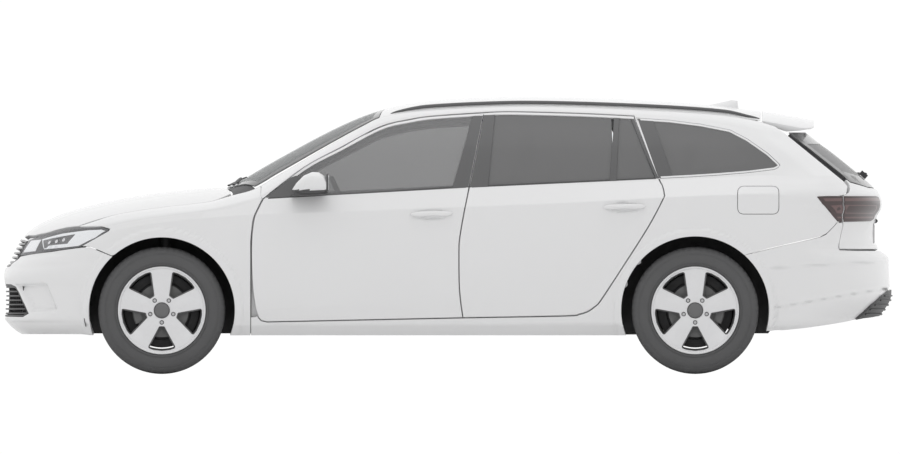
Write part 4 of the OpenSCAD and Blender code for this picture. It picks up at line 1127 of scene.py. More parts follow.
TAILCUT = [[2122, 996], [2117, 962], [2100, 946]]
BUMPR = [[1578, 633], [1700, 663], [1850, 698], [1930, 716], [1984, 729], [2010, 742], [2040, 772], [2069, 804]]
op = offset(ccw(dense(OPEN, 10)), -3.0)[::-1]
i0 = int(np.argmin(np.hypot(op[:, 0] + 981, op[:, 1] - 932)))
op = np.roll(op, -i0, 0)
i1 = int(np.argmin(np.hypot(op[:, 0] + 1008, op[:, 1] - 300)))
DOORWAY = op[:i1 + 1]
for s in (-1, 1):
    side, sm = BODYN[s], SM[s]
    P0 = sm.surf()
    topz = lambda x: float(sm.z(np.array(x, float), np.array(1257.0)))
    loop = [[-1040, 204], [946, 204]]
    loop += arch_pts(AXR, ARR, 0, ang(AXR, 946, 204) + 360 if ang(AXR, 946, 204) < 0 else ang(AXR, 946, 204), ang(AXR, 1578, 633), 60)[1:]
    loop += [[b[0] + 1, b[1] + 3] for b in BUMPR[1:]]
    loop += [[1958, 941], [1964, 945], [2094, 946]] + TAILCUT[::-1][1:] + [[2100, 1022], [1789, 1276], [1664, 1364]]
    xs = np.linspace(1655, -985, 120)
    loop += [[x, topz(x)] for x in xs]
    loop += [[-990, 940]]
    loop = np.array(loop + DOORWAY.tolist() + [[-1020, 300], [-1040, 300]])
    fl_in = rounded([[1540, 848], [1757, 848], [1757, 995], [1540, 995]], 34, 6)
    qz = rounded([[1122, 1038], [1300, 1047], [1440, 1056], [1600, 1069], [1735, 1086], [1768, 1104], [1700, 1168],
                  [1590, 1245], [1498, 1293], [1345, 1323], [1180, 1344], [1000, 1356], [1012, 1326]], [2, 20, 20, 20, 26, 14, 40, 60, 60, 60, 60, 2, 2], 4)
    loops = [tov(sm, dense(loop, 11)), tov(sm, dense(offset(ccw(qz), -2.5), 11))]
    if s < 0:
        loops.append(tov(sm, dense(offset(ccw(fl_in), -2.2), 9)))
    panel("side_frame_skin_" + side, P0, loops, PAINT, "root", ["side_frame_" + side], step=14, vlines=VL, thick=20,
          back_mat=PAINT_SHADE_INNER)
    # door ring in the darker paint copy: painted shade round the door openings
    ring = [[-1040, 247], [760, 247], [840, 360], [1170, 930], [1172, 1000], [1168, 1376], [1000, 1386], [700, 1397],
            [280, 1400], [0, 1387], [-200, 1370], [-330, 1344], [-404, 1316], [-790, 1094], [-900, 1032], [-1040, 905]]
    hf, hr = inz(FDOOR, 24.5), inz(RDOOR, 24.5)
    panel("door_ring_" + side, P0, [tov(sm, dense(ring, 16)), tov(sm, hf), tov(sm, hr)], PAINT_SHADE_INNER, "root", [], step=30,
          roll=3, thick=40, depth=32, back_mat=CARD)
    # door seal round each opening
    for tag, h in (("front", inz(FDOOR, 19)), ("rear", inz(RDOOR, 19))):
        sweep("door_seal_%s_%s" % (tag, side), P0, tov(sm, h), [(0, 31), (5, 28.5), (9, 29.5), (9, 33), (0, 33)], DARKLINE, "root")
    # quarter window: pillar trim, glass, bright strip behind its gap
    q0 = offset(ccw(dense(qz, 11)), 9.0)
    panel("quarter_strip_" + side, P0, [tov(sm, dense(qz, 11)), tov(sm, q0)], PAINT, "root", [], step=40, roll=0.8,
          thick=7, depth=0.2, steps=2)
    panel("quarter_glass_" + side, P0, [tov(sm, offset(ccw(dense(qz, 11)), 9.6))], GLSD, "root", ["quarter_windows"] if s > 0 else [],
          step=26, roll=0.8, thick=5, depth=4, steps=1)
    band = clip_half(offset(ccw(dense(qz, 11)), 9.8), [1197, 1040], [1085, 1360])
    panel("quarter_pillar_trim_" + side, P0, [tov(sm, dense(band, 12))], GREYTRIM, "root", [], step=24, roll=0.8, thick=5,
          depth=-0.4, steps=2)
    strip = [[1120, 1038], [1009, 1352], [1022, 1352], [1133, 1039]]
    panel("quarter_edge_trim_" + side, P0, [tov(sm, dense(strip, 12))], GREYTRIM, "root", [], step=24, roll=0.6, thick=5,
          depth=-0.6, steps=2)
    qi = offset(ccw(dense(qz, 11)), 10.5)
    inner = rounded([[1215, 1095], [1165, 1300], [1345, 1290], [1440, 1268], [1520, 1225], [1590, 1170], [1610, 1130], [1430, 1098]], 40, 4)
    panel("quarter_inner_trim_" + side, P0, [tov(sm, dense(qi, 12)), tov(sm, dense(inner, 12))], DARKLINE, "root", [], step=30,
          roll=2, thick=30, depth=12)
    # front wing
    wl = arch_pts(AXF, ARF, 0, ang(AXF, -1775, 622), ang(AXF, -1151, 204), 60)
    rear = [[r[0] - 6.2, r[1]] for r in F_FRONT if r[1] > 300][::-1]
    xs = np.linspace(-988, -1945, 46)
    loop = [[-1043.5, 204], [-1043.5, 700]] + [r for r in rear if r[1] > 705] + [[-983, 932], [-990, 942]]
    loop += [[x, topz(x)] for x in xs]
    loop += [[-1950, 783], [-1834, 784], [-1786, 770], [-1795, 757], [-1935, 678], [-1895, 677]]
    loop = np.array(loop + [[-1777, 627]] + wl[1:])
    panel("front_wing_" + side, P0, [tov(sm, dense(loop, 11))], PAINT, "root", ["front_wings"] if s > 0 else [], step=14,
          vlines=VL, thick=16, back_mat=PAINT_SHADE_INNER)
    # dark returns inside the wheel openings
    for tag, cx, r in (("front", AXF, ARF), ("rear", AXR, ARR)):
        V, F = [], []
        aa = np.linspace(-14, 194, 90)
        for a in aa:
            c, q = math.cos(math.radians(a)), math.sin(math.radians(a))
            yo = float(W(cx + r * c, WR + r * q)) - 13
            for rr, yy in ((r + 3, yo), (419, 798), (423, 798), (r + 9, yo)):
                V.append(((cx + rr * c) / 1000, s * yy / 1000, (WR + rr * q) / 1000))
        n = len(aa)
        for i in range(n - 1):
            for j in range(4):
                F.append((i * 4 + j, i * 4 + (j + 1) % 4, (i + 1) * 4 + (j + 1) % 4, (i + 1) * 4 + j))
        F += [(0, 1, 2, 3), ((n - 1) * 4 + 3, (n - 1) * 4 + 2, (n - 1) * 4 + 1, (n - 1) * 4)]
        ob = new_mesh("arch_return_%s_%s" % (tag, side), V, F, [LINER], smooth=False)
        fix_normals(ob)
        soft(ob, 30)
        ride(ob, "root", slot="black_plastic")

# fuel flap and its well
fl_out = rounded([[1540, 848], [1757, 848], [1757, 995], [1540, 995]], 34, 6)
smL = SM[-1]
panel("fuel_flap_skin", smL.surf(), [tov(smL, dense(offset(ccw(fl_out), 0.6), 9))], PAINT, "fuel_flap", ["fuel_flap"], step=16,
      roll=1.5, thick=6, back_mat=PAINT_SHADE_INNER)
sweep("fuel_flap_well", smL.surf(), tov(smL, dense(offset(ccw(fl_out), -4.2), 9)), [(0, 3), (0, 33), (-3, 33), (-3, 3)], BLACKP, "root")
panel("fuel_well_floor", smL.surf(), [tov(smL, dense(offset(ccw(fl_out), -4.0), 9))], BLACKP, "root", [], step=40, roll=1,
      thick=3, depth=31)

# ------------------------------------------------------------------ hood, cowl, windshield, roof
TS = topsurf()


def mirror_plan(p, n=4, step=14.0):
    """right half outline from the centre line round to the centre line, mirrored into a closed loop"""
    h = np.array(open_curve(p, n))
    m = h[::-1] * [1, -1]
    return dense(np.concatenate([h, m[1:-1]]), step)


hood = np.concatenate([open_curve([[-2241, 0], [-2238, 240], [-2203, 455], [-2148, 575], [-2090, 652], [-1957, 764]], 5),
                       open_curve([[-1957, 764], [-1755, 793], [-1513, 793], [-1350, 785], [-1254, 771], [-1200, 748], [-1149, 705]], 4)[1:],
                       open_curve([[-1149, 690], [-1160, 500], [-1180, 200], [-1183, 0]], 5)])
hood = np.concatenate([hood, (hood[::-1] * [1, -1])[1:-1]])
bulge = lambda x, y: 2.5 * sst((470 - np.abs(y)) / 60 + 0.35 * (x + 1700) / 500) * sst((-1200 - x) / 100) * sst((x + 2230) / 100)
HS = Surf(lambda x, y: (x, y, T(x, y) - 2.5 + bulge(x, y)), 1.0)
panel("hood_skin", HS, [dense(hood, 13)], PAINT, "hood", ["hood"], step=15, thick=24, roll=3.5, back_mat=PAINT_SHADE_INNER)
# hood inner frame: stiffening ribs under the skin, in the darker paint copy that paints the shade there
for k, (xa, xb) in enumerate(((-2120, -2060), (-1760, -1710), (-1290, -1240))):
    yy = 540 if k == 0 else 640
    panel("hood_rib_%d" % k, HS, [dense(rounded([[xa, -yy], [xb, -yy], [xb, yy], [xa, yy]], 20, 4), 20)], PAINT_SHADE_INNER, "hood", [],
          step=40, thick=8, depth=23, roll=3)
cow = mirror_plan([[-1172, 0], [-1170, 200], [-1150, 500], [-1139, 700], [-1146, 745], [-1080, 742], [-1022, 724], [-1040, 668], [-1098, 506], [-1138, 250], [-1152, 0]], 1)
panel("cowl", TS, [cow], BLACKP, "root", [], step=30, thick=8, depth=9, roll=2)
ws = mirror_plan([[-1165, 0], [-1150, 250], [-1110, 500], [-1050, 660], [-1022, 712], [-960, 705], [-404, 620], [-362, 610], [-345, 400], [-332, 150], [-330, 0]], 1, 12)
panel("windshield_glass", TS, [ws], GLSW, "root", ["windshield"], step=34, thick=5, depth=2, roll=1, steps=1)
wi = offset(ccw(ws), 34)
panel("windshield_frit", TS, [offset(ccw(ws), 1.0), wi], FRIT, "root", [], step=30, thick=0.7, depth=1.1, roll=0.3, steps=1)
roof = []
for x in np.linspace(-358, 1660, 110):
    roof.append([x, float(ey(x)) - 2.5])
rp = np.concatenate([open_curve([[-326, 0], [-328, 150], [-343, 400], [-356, 600]], 6), roof, [[1662, 400], [1662, 0]]])
rp = np.concatenate([rp, (rp[::-1] * [1, -1])[1:-1]])
panel("roof_skin", TS, [dense(rp, 16)], PAINT, "root", ["roof_panel"], step=22, thick=3, roll=2.2)
rl = offset(ccw(dense(rp, 30)), 12)
panel("roof_lining", TS, [rl], HEADLN, "root", [], step=60, thick=12, depth=28, roll=3)
for s in (-1, 1):
    xs = np.linspace(-300, 1655, 64)
    pts, tp = [], []
    for x in xs:
        e = min(1.0, (x + 300) / 170.0, (1655 - x) / 170.0)
        e = max(0.0, e)
        y = float(ey(x)) - 22
        pts.append((x, s * y, float(T(x, y)) + 1 + 11 * (e ** 0.7)))
        tp.append(0.28 + 0.72 * e ** 0.6)
    sweep_tube("roof_rail_" + BODYN[s], pts, 9.5, RAILM, "root", n=14, squash=(0.95, 1.0), taper=tp)
    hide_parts("roof_rails")
# fin aerial on the roof
V, F = [], []
fx = np.linspace(0, 1, 15)
rings = []
for t in np.linspace(0, 1, 9):
    x0 = 1378 + 128 * t ** 0.9
    x1 = 1544 - 6 * t
    w = 26 * (1 - t) ** 0.8 + 2.2
    rings.append((x0, x1, w, t * 42))
nf = 24
for x0, x1, w, h in rings:
    for k in range(nf):
        a = 2 * math.pi * k / nf
        u = 0.5 - 0.5 * math.cos(a)
        x = x0 + (x1 - x0) * u
        y = w * math.sin(a) * (0.55 + 0.6 * u)
        V.append((x / 1000, y / 1000, (float(T(x, 0)) - 2 + h) / 1000))
for i in range(len(rings) - 1):
    for k in range(nf):
        F.append((i * nf + k, i * nf + (k + 1) % nf, (i + 1) * nf + (k + 1) % nf, (i + 1) * nf + k))
F.append(tuple(range(nf))[::-1])
F.append(tuple((len(rings) - 1) * nf + k for k in range(nf)))
ob = new_mesh("roof_fin", V, F, [PAINT], smooth=False)
fix_normals(ob)
soft(ob, 40)
ride(ob, "root", slot="body_paint")

# ------------------------------------------------------------------ nose: bumper, grilles, lamps
NS, TL = EndMap(True), EndMap(False)


def both_sides(em, pts, step=12.0):
    """right-hand half outline, from the centre line to the centre line, closed over the left side"""
    q = []
    for k, a, z in pts:
        q.append([float(em.gx(a, z) if k == "x" else (em.gy(a, z) if k == "y" else a)), z])
    q = np.array(q)
    m = q[::-1] * [-1, 1]
    p = np.concatenate([q, m])
    keep = [0]
    for i in range(1, len(p)):
        if np.hypot(*(p[i] - p[keep[-1]])) > 0.5:
            keep.append(i)
    p = p[keep]
    if np.hypot(*(p[0] - p[-1])) < 0.5:
        p = p[:-1]
    return dense(p, step)


def scoop(x, y, z):
    """air curtain recess in the bumper's corner, and the lower lip"""
    P = [[-2296, 476], [-2140, 488], [-2118, 476], [-2062, 338], [-2070, 330], [-2214, 318]]
    o = 30 * mask(P, x, z, 26)
    o = o + 7 * sst((282 - (z + 0.02 * (x + 2200))) / 14) * sst((-1885 - x) / 60)
    o = o - 5 * sst((z - 560 - 0.04 * (x + 2300)) / 24) * sst((612 + 0.12 * (x + 2300) - z) / 24) * sst((-1960 - x) / 120)
    return o


NB = dimpled(NS.surf(), scoop)
a_arch = [("x", x, z) for x, z in arch_pts(AXF, ARF, 0, 360 + ang(AXF, -1876, 204) if ang(AXF, -1876, 204) < 0 else ang(AXF, -1876, 204), ang(AXF, -1775, 622), 34)]
bl = [("g", 0, 204), ("x", -2000, 204)] + a_arch + [("x", -1781, 625), ("x", -1896, 672), ("x", -1938, 670), ("x", -2100, 647),
      ("x", -2262, 623), ("y", 424, 602), ("y", 330, 571), ("y", 150, 563), ("g", 0, 562)]
low = [("g", 0, 304), ("x", -2322, 304), ("x", -2250, 302), ("x", -2220, 320), ("x", -2240, 366), ("x", -2270, 430), ("x", -2288, 462), ("x", -2312, 474), ("g", 0, 476)]
lowl = both_sides(NS, low)
panel("front_bumper_skin", NB, [both_sides(NS, bl), lowl], PAINT, "root", ["front_bumper"], step=14, thick=22, roll=3, back_mat=BLACKP)
# lower grille: recessed floor, frame and slats
LOWS = NS.surf()
panel("lower_grille_floor", LOWS, [offset(ccw(lowl), -8)], MESHP, "root", ["grille"], step=40, thick=5, depth=34, roll=1)
sweep("lower_grille_frame", LOWS, offset(ccw(lowl), 1.5), [(0, 2), (5, 0), (9, 2), (9, 32), (0, 32)], MESHP, "root")
gmax = lambda z: float(np.interp(z, [304, 320, 366, 430, 462, 476], [NS.gx(-2250, 304), NS.gx(-2222, 320), NS.gx(-2242, 366), NS.gx(-2272, 430), NS.gx(-2290, 462), NS.gx(-2312, 474)])) - 10
for k, z in enumerate(np.linspace(322, 460, 7)):
    g = gmax(z)
    panel("lower_slat_%d" % k, LOWS, [dense([[-g, z - 4], [g, z - 4], [g, z + 4], [-g, z + 4]], 14)], MESHP, "root", [], step=200,
          thick=24, depth=-1.5 if k % 2 else 1.0, roll=1.6, steps=2)
for k, g in enumerate(np.linspace(-560, 560, 29)):
    panel("lower_web_%d" % k, LOWS, [dense([[g - 2, 312], [g + 2, 312], [g + 2, 470], [g - 2, 470]], 30)], MESHP, "root", [], step=300,
          thick=10, depth=16, roll=0.6, steps=1)
up = [("g", 0, 569), ("y", 150, 570), ("y", 330, 578), ("y", 420, 608), ("y", 428, 640), ("y", 426, 706), ("y", 300, 712), ("g", 0, 715)]
upl = both_sides(NS, up)
panel("upper_grille_floor", LOWS, [upl], MESHP, "root", [], step=40, thick=5, depth=26, roll=1)
sweep("upper_grille_frame", LOWS, upl, [(0, 1), (4, -1.5), (10, 0), (11, 26), (0, 26)], GREYTRIM, "root")
for k, z in enumerate((596, 620, 644, 668, 692)):
    g = float(NS.gy(405 if z > 610 else 380, z))
    panel("upper_slat_%d" % k, LOWS, [dense([[-g, z - 5], [g, z - 5], [g, z + 5], [-g, z + 5]], 14)], GREYTRIM, "root", [], step=200,
          thick=18, depth=3, roll=2.0, steps=2)


def side_loop(em, pts, s, step=9.0):
    return em.loop(pts, s, step)


LAMP = [("x", -1941, 674), ("x", -1868, 714), ("x", -1800, 757), ("x", -1791, 768), ("x", -1835, 778), ("x", -1957, 776), ("x", -2100, 745), ("x", -2200, 719),
        ("y", 436, 712), ("y", 434, 628), ("x", -2200, 636), ("x", -2060, 655)]
DRLS = [[(-2249, 644), (-2206, 708), (-2152, 714), (-2185, 652)],
        [(-2139, 661), (-2147, 716), (-2040, 745), (-1905, 763), (-1832, 766), (-1812, 759), (-1868, 722), (-1930, 692), (-1956, 679), (-2050, 669)]]
MODL = [(-2137, 667), (-2143, 709), (-2060, 727), (-1972, 742), (-2014, 692), (-2112, 681), (-2126, 668)]
for s in (-1, 1):
    side = BODYN[s]
    L = rounded(side_loop(NS, LAMP, s), 0)
    HSF = NS.surf()
    panel("headlight_housing_" + side, HSF, [L], LAMPD, "root", ["headlights"] if s > 0 else [], step=20, thick=40, depth=3.5, roll=2)
    for k, d in enumerate(DRLS):
        p = side_loop(NS, [("x", x, z) for x, z in d], s, 7)
        loops = [rounded(p, 0)]
        if k == 1:
            loops.append(side_loop(NS, [("x", x, z) for x, z in MODL], s, 7))
        panel("headlight_guide_%d_%s" % (k, side), HSF, loops, DRL, "root", [], step=16, thick=8, depth=1.2, roll=1.6, steps=2)
    p = side_loop(NS, [("x", x, z) for x, z in MODL], s, 7)
    panel("headlight_module_" + side, HSF, [offset(ccw(p), 2)], LAMPM, "root", [], step=16, thick=6, depth=3.2, roll=1.6, steps=2)
    for k, (x, z) in enumerate(((-2110, 697), (-2072, 703), (-2034, 711))):
        g = float(NS.gx(x, z)) * s
        c = HSF.at(g, z, 3.0)
        n = HSF.nrm(g, z)
        q = Vector(n).to_track_quat("Z", "Y").to_matrix()
        prism("headlight_eye_%d_%s" % (k, side), [(10.5 * math.cos(a), 10.5 * math.sin(a)) for a in np.linspace(0, 2 * math.pi, 25)[:-1]], -2, 2.2,
              lambda a, b, cc, c=c, q=q: tuple(Vector(c) + q @ Vector((a, b, cc))), CHROME, "root", bevel=1.2)
    panel("headlight_cover_" + side, HSF, [L], LENS, "root", [], step=22, thick=2.4, depth=-1.6, roll=1.2, steps=2)

# ------------------------------------------------------------------ tail: bumper, gate, glass, lamps
def tail_press(x, y, z):
    o = 6 * sst((589 + 0.06 * (x - 2100) - z) / 9) * sst((x - 1690) / 60)
    o = o - 7 * sst((390 + 0.155 * (x - 1950) + 28 - z) / 60) * sst((x - 1720) / 60)
    o = o + 9 * sst((352 + 0.17 * (x - 1715) - z) / 8) * sst((x - 1715) / 50)
    return o


TB = dimpled(TL.surf(), tail_press)
r_arch = [("x", x, z) for x, z in arch_pts(AXR, ARR, 0, ang(AXR, 1690, 226), ang(AXR, 1578, 628), 40)]
rb = [("g", 0, 232), ("x", 2200, 240), ("x", 2100, 236), ("x", 1900, 228)] + r_arch + [("x", b[0], b[1] - 3) for b in BUMPR] + [
    ("x", 2096, 802), ("x", 2096, 780), ("x", 2079, 700), ("x", 2079, 657), ("y", 700, 654), ("g", 0, 654)]
rb[0] = ("g", 0, 300)
rb[1:4] = [("y", 300, 298), ("y", 560, 290), ("x", 2152, 281), ("x", 2060, 262), ("x", 1900, 238), ("x", 1780, 226)]
rbl = both_sides(TL, rb)
dif = [("g", 0, 309), ("y", 300, 306), ("y", 560, 296), ("x", 2165, 288), ("x", 2200, 318), ("x", 2250, 366), ("x", 2300, 412), ("y", 300, 440), ("g", 0, 448)]
difl = both_sides(TL, dif)
panel("rear_bumper_skin", TB, [rbl], PAINT, "root", ["rear_bumper"], step=14, thick=22, roll=3, back_mat=BLACKP)
TLS = TL.surf()
panel("rear_diffuser", TLS, [offset(ccw(difl), 1)], MESHP, "root", [], step=22, thick=12, depth=-6, roll=3)
for k, z in enumerate((322, 346, 370, 394, 416)):
    g = float(np.interp(z, [288, 318, 366, 412, 440], [TL.gx(2165, 288), TL.gx(2200, 318), TL.gx(2250, 366), TL.gx(2300, 412), TL.gy(300, 440)])) - 16
    panel("diffuser_rib_%d" % k, TLS, [dense([[-g, z - 4], [g, z - 4], [g, z + 4], [-g, z + 4]], 14)], MESHP, "root", [], step=200,
          thick=10, depth=-13, roll=2.4, steps=2)
tg = [("g", 0, 663), ("y", 700, 663), ("x", 2081, 664), ("x", 2081, 700), ("x", 2099, 780), ("x", 2100, 802), ("x", 2100, 944), ("x", 2128, 960), ("x", 2134, 1000),
      ("x", 2113, 1030), ("x", 1955, 1159), ("x", 1801, 1285), ("y", 450, 1286), ("g", 0, 1286)]
rw = [("g", 0, 985), ("y", 450, 992), ("x", 2170, 1010), ("x", 2135, 1020), ("x", 2118, 1034), ("x", 1960, 1163), ("x", 1813, 1282), ("y", 450, 1282), ("g", 0, 1282)]
tgl, rwl = both_sides(TL, tg), both_sides(TL, rw)


def gate_press(x, y, z):
    P = [[-330, 690], [330, 690], [330, 800], [-330, 800]]
    return 14 * mask(P, y, z, 12) + 3.0 * sst((948 - z) / 6) * sst((z - 790) / 6) * 0


TG = dimpled(TL.surf(), gate_press)
# the gate skin is the outline without the glass
gate = both_sides(TL, tg[:10] + [("x", 2118, 1029), ("x", 2135, 1016), ("x", 2170, 1006), ("y", 450, 988), ("g", 0, 981)])
panel("tailgate_skin", TG, [gate], PAINT, "tailgate", ["tailgate"], step=16, thick=30, roll=3, back_mat=CARD)
panel("rear_window_glass", TLS, [rwl], GLSD, "tailgate", ["rear_window"], step=30, thick=5, depth=2, roll=1, steps=1)
panel("rear_window_frit", TLS, [offset(ccw(rwl), 1), offset(ccw(rwl), 62)], FRIT, "tailgate", [], step=24, thick=0.8, depth=0.9, roll=0.3, steps=1)
panel("tailgate_frame", TLS, [offset(ccw(rwl), 4), offset(ccw(rwl), 70)], CARD, "tailgate", [], step=30, thick=26, depth=9, roll=2)
block("plate_blank", (-5, -260, 694), (5, 260, 796), PLATE, "tailgate", bevel=6)
pl = bpy.data.objects["plate_blank"]
xp = float(TL.xr(np.array(745.0))[0]) - 14
pl.data.transform(Matrix.Translation((xp / 1000 + 0.003, 0, 0)))
block("tailgate_grip", (xp + 2, -190, 800), (xp + 24, 190, 822), BLACKP, "tailgate", bevel=5)
for s in (-1, 1):
    block("plate_lamp_" + BODYN[s], (xp - 2, s * 90 - 18, 797), (xp + 16, s * 90 + 18, 803), LENS, "tailgate", bevel=2)
# spoiler
V, F = [], []
ys = np.concatenate([np.linspace(-1, 1, 41)])
xa = np.linspace(1669, 1943, 16)
def half(x):
    return float(np.interp(x, [1669, 1800, 1870, 1920, 1941, 1944], [float(ey(1669)) - 1, float(ey(1800)) - 2, 541, 520, 505, 470]))
def bottom(x):
    return float(np.interp(x, [1669, 1700, 1795, 1870, 1925, 1944], [1340, 1322, 1289, 1294, 1304, 1318]))
nx, ny = len(xa), len(ys)
for lay in (0, 1):
    for x in xa:
        for u in ys:
            y = u * half(x)
            zt = float(T(x, y))
            zb = bottom(x) - 4 * abs(u) ** 4
            V.append((x / 1000, y / 1000, (zt if lay == 0 else min(zb, zt - 6)) / 1000))
for lay in (0, 1):
    for i in range(nx - 1):
        for j in range(ny - 1):
            F.append(tuple(lay * nx * ny + k for k in (i * ny + j, (i + 1) * ny + j, (i + 1) * ny + j + 1, i * ny + j + 1)))
o = nx * ny
for i in range(nx - 1):
    F.append((i * ny, (i + 1) * ny, o + (i + 1) * ny, o + i * ny))
    F.append((i * ny + ny - 1, (i + 1) * ny + ny - 1, o + (i + 1) * ny + ny - 1, o + i * ny + ny - 1))
for j in range(ny - 1):
    F.append((j, j + 1, o + j + 1, o + j))
    F.append(((nx - 1) * ny + j, (nx - 1) * ny + j + 1, o + (nx - 1) * ny + j + 1, o + (nx - 1) * ny + j))
ob = new_mesh("spoiler", V, F, [PAINT], smooth=False)
fix_normals(ob)
bv = ob.modifiers.new("b", "BEVEL")
bv.width, bv.segments, bv.limit_method, bv.angle_limit = 0.0025, 2, "ANGLE", math.radians(50)
bpy.context.view_layer.objects.active = ob
with bpy.context.temp_override(object=ob, active_object=ob, selected_objects=[ob]):
    bpy.ops.object.modifier_apply(modifier="b")
soft(ob, 40)
ride(ob, "tailgate", slot="body_paint")
block("high_brake_lamp", (1915, -170, 1300), (1932, 170, 1313), REDD, "tailgate", bevel=3)
# rear wiper
def on_tail(y, z, d=0.0):
    g = float(TL.gy(abs(y), z)) * (1 if y >= 0 else -1)
    return TLS.at(g, z, d)
c = on_tail(0, 1046, -2)
n = TLS.nrm(0.0, 1046.0)
q = Vector(n).to_track_quat("Z", "Y").to_matrix()
prism("rear_wiper_pivot", [(21 * math.cos(a), 21 * math.sin(a)) for a in np.linspace(0, 2 * math.pi, 33)[:-1]], -2, 24,
      lambda a, b, cc: tuple(Vector(c) + q @ Vector((a, b, cc))), WIPER, "tailgate", bevel=5, seg=3)
ar = [on_tail(y, z, d) for y, z, d in ((0, 1046, -20), (60, 1047, -19), (140, 1050, -14), (220, 1053, -11), (300, 1058, -10))]
sweep_tube("rear_wiper_arm", ar, 6.5, WIPER, "tailgate", n=10, squash=(1.5, 0.7), taper=[1.5, 1.3, 1.0, 0.9, 0.8])
bl2 = [on_tail(y, 1052 + 0.035 * (y - 120), -5.0) for y in np.linspace(60, 400, 14)]
sweep_tube("rear_wiper_blade", bl2, 5.0, WIPER, "tailgate", n=8, squash=(0.7, 1.0))
# lamps
for s in (-1, 1):
    side = BODYN[s]
    A1 = side_loop(TL, [("x", 1962, 936), ("x", 1968, 941), ("x", 2094, 943), ("x", 2094, 806), ("x", 2072, 806)], s)
    A2 = side_loop(TL, [("x", 2101, 943), ("y", 420, 943), ("y", 330, 938), ("y", 300, 915), ("y", 300, 875), ("y", 330, 822), ("y", 420, 810), ("x", 2101, 806)], s)
    B1 = side_loop(TL, [("x", 1992, 931), ("x", 2091, 932), ("x", 2091, 917), ("x", 2004, 916)], s)
    C1 = side_loop(TL, [("x", 2030, 893), ("x", 2091, 897), ("x", 2091, 852), ("x", 2063, 852)], s)
    D1 = side_loop(TL, [("x", 2062, 834), ("x", 2091, 834), ("x", 2091, 825), ("x", 2069, 825)], s)
    B2 = side_loop(TL, [("x", 2104, 932), ("y", 420, 932), ("y", 340, 927), ("y", 340, 915), ("y", 420, 917), ("x", 2104, 917)], s)
    C2 = side_loop(TL, [("x", 2104, 897), ("y", 430, 895), ("y", 400, 885), ("y", 430, 852), ("x", 2104, 852)], s)
    D2 = side_loop(TL, [("x", 2104, 834), ("y", 380, 836), ("y", 385, 826), ("x", 2104, 825)], s)
    panel("tail_lamp_" + side, TLS, [A1], REDD, "root", ["tail_lights"] if s > 0 else [], step=16, thick=32, depth=-2.0, roll=3)
    panel("gate_lamp_" + side, TLS, [A2], REDD, "tailgate", ["tailgate_lights"] if s > 0 else [], step=16, thick=32, depth=-4.0, roll=3)
    for k, p in enumerate((B1, C1, D1)):
        panel("tail_bar_%d_%s" % (k, side), TLS, [p], REDB, "root", [], step=18, thick=2, depth=-2.9, roll=0.8, steps=2)
    for k, p in enumerate((B2, C2, D2)):
        panel("gate_bar_%d_%s" % (k, side), TLS, [p], REDB, "tailgate", [], step=18, thick=2, depth=-4.9, roll=0.8, steps=2)


# ------------------------------------------------------------------ wheels
def tyre_profile():
    """(r, w) round the tyre, inner bead to outer bead"""
    o = [(224, -90), (234, -91), (238, -98), (246, -103), (262, -106.5), (283, -107.5), (300, -106), (312, -102), (322, -95), (330, -86)]
    m = [(334.0, -80), (335.3, -70), (336.2, -58), (336.4, -51), (329, -50.2), (329, -42), (336.6, -41.2), (337, -30), (337, -14), (329, -13.2), (329, -5), (336.9, -4.2)]
    full = o + m
    return full + [(r, -w) for r, w in reversed(full)]


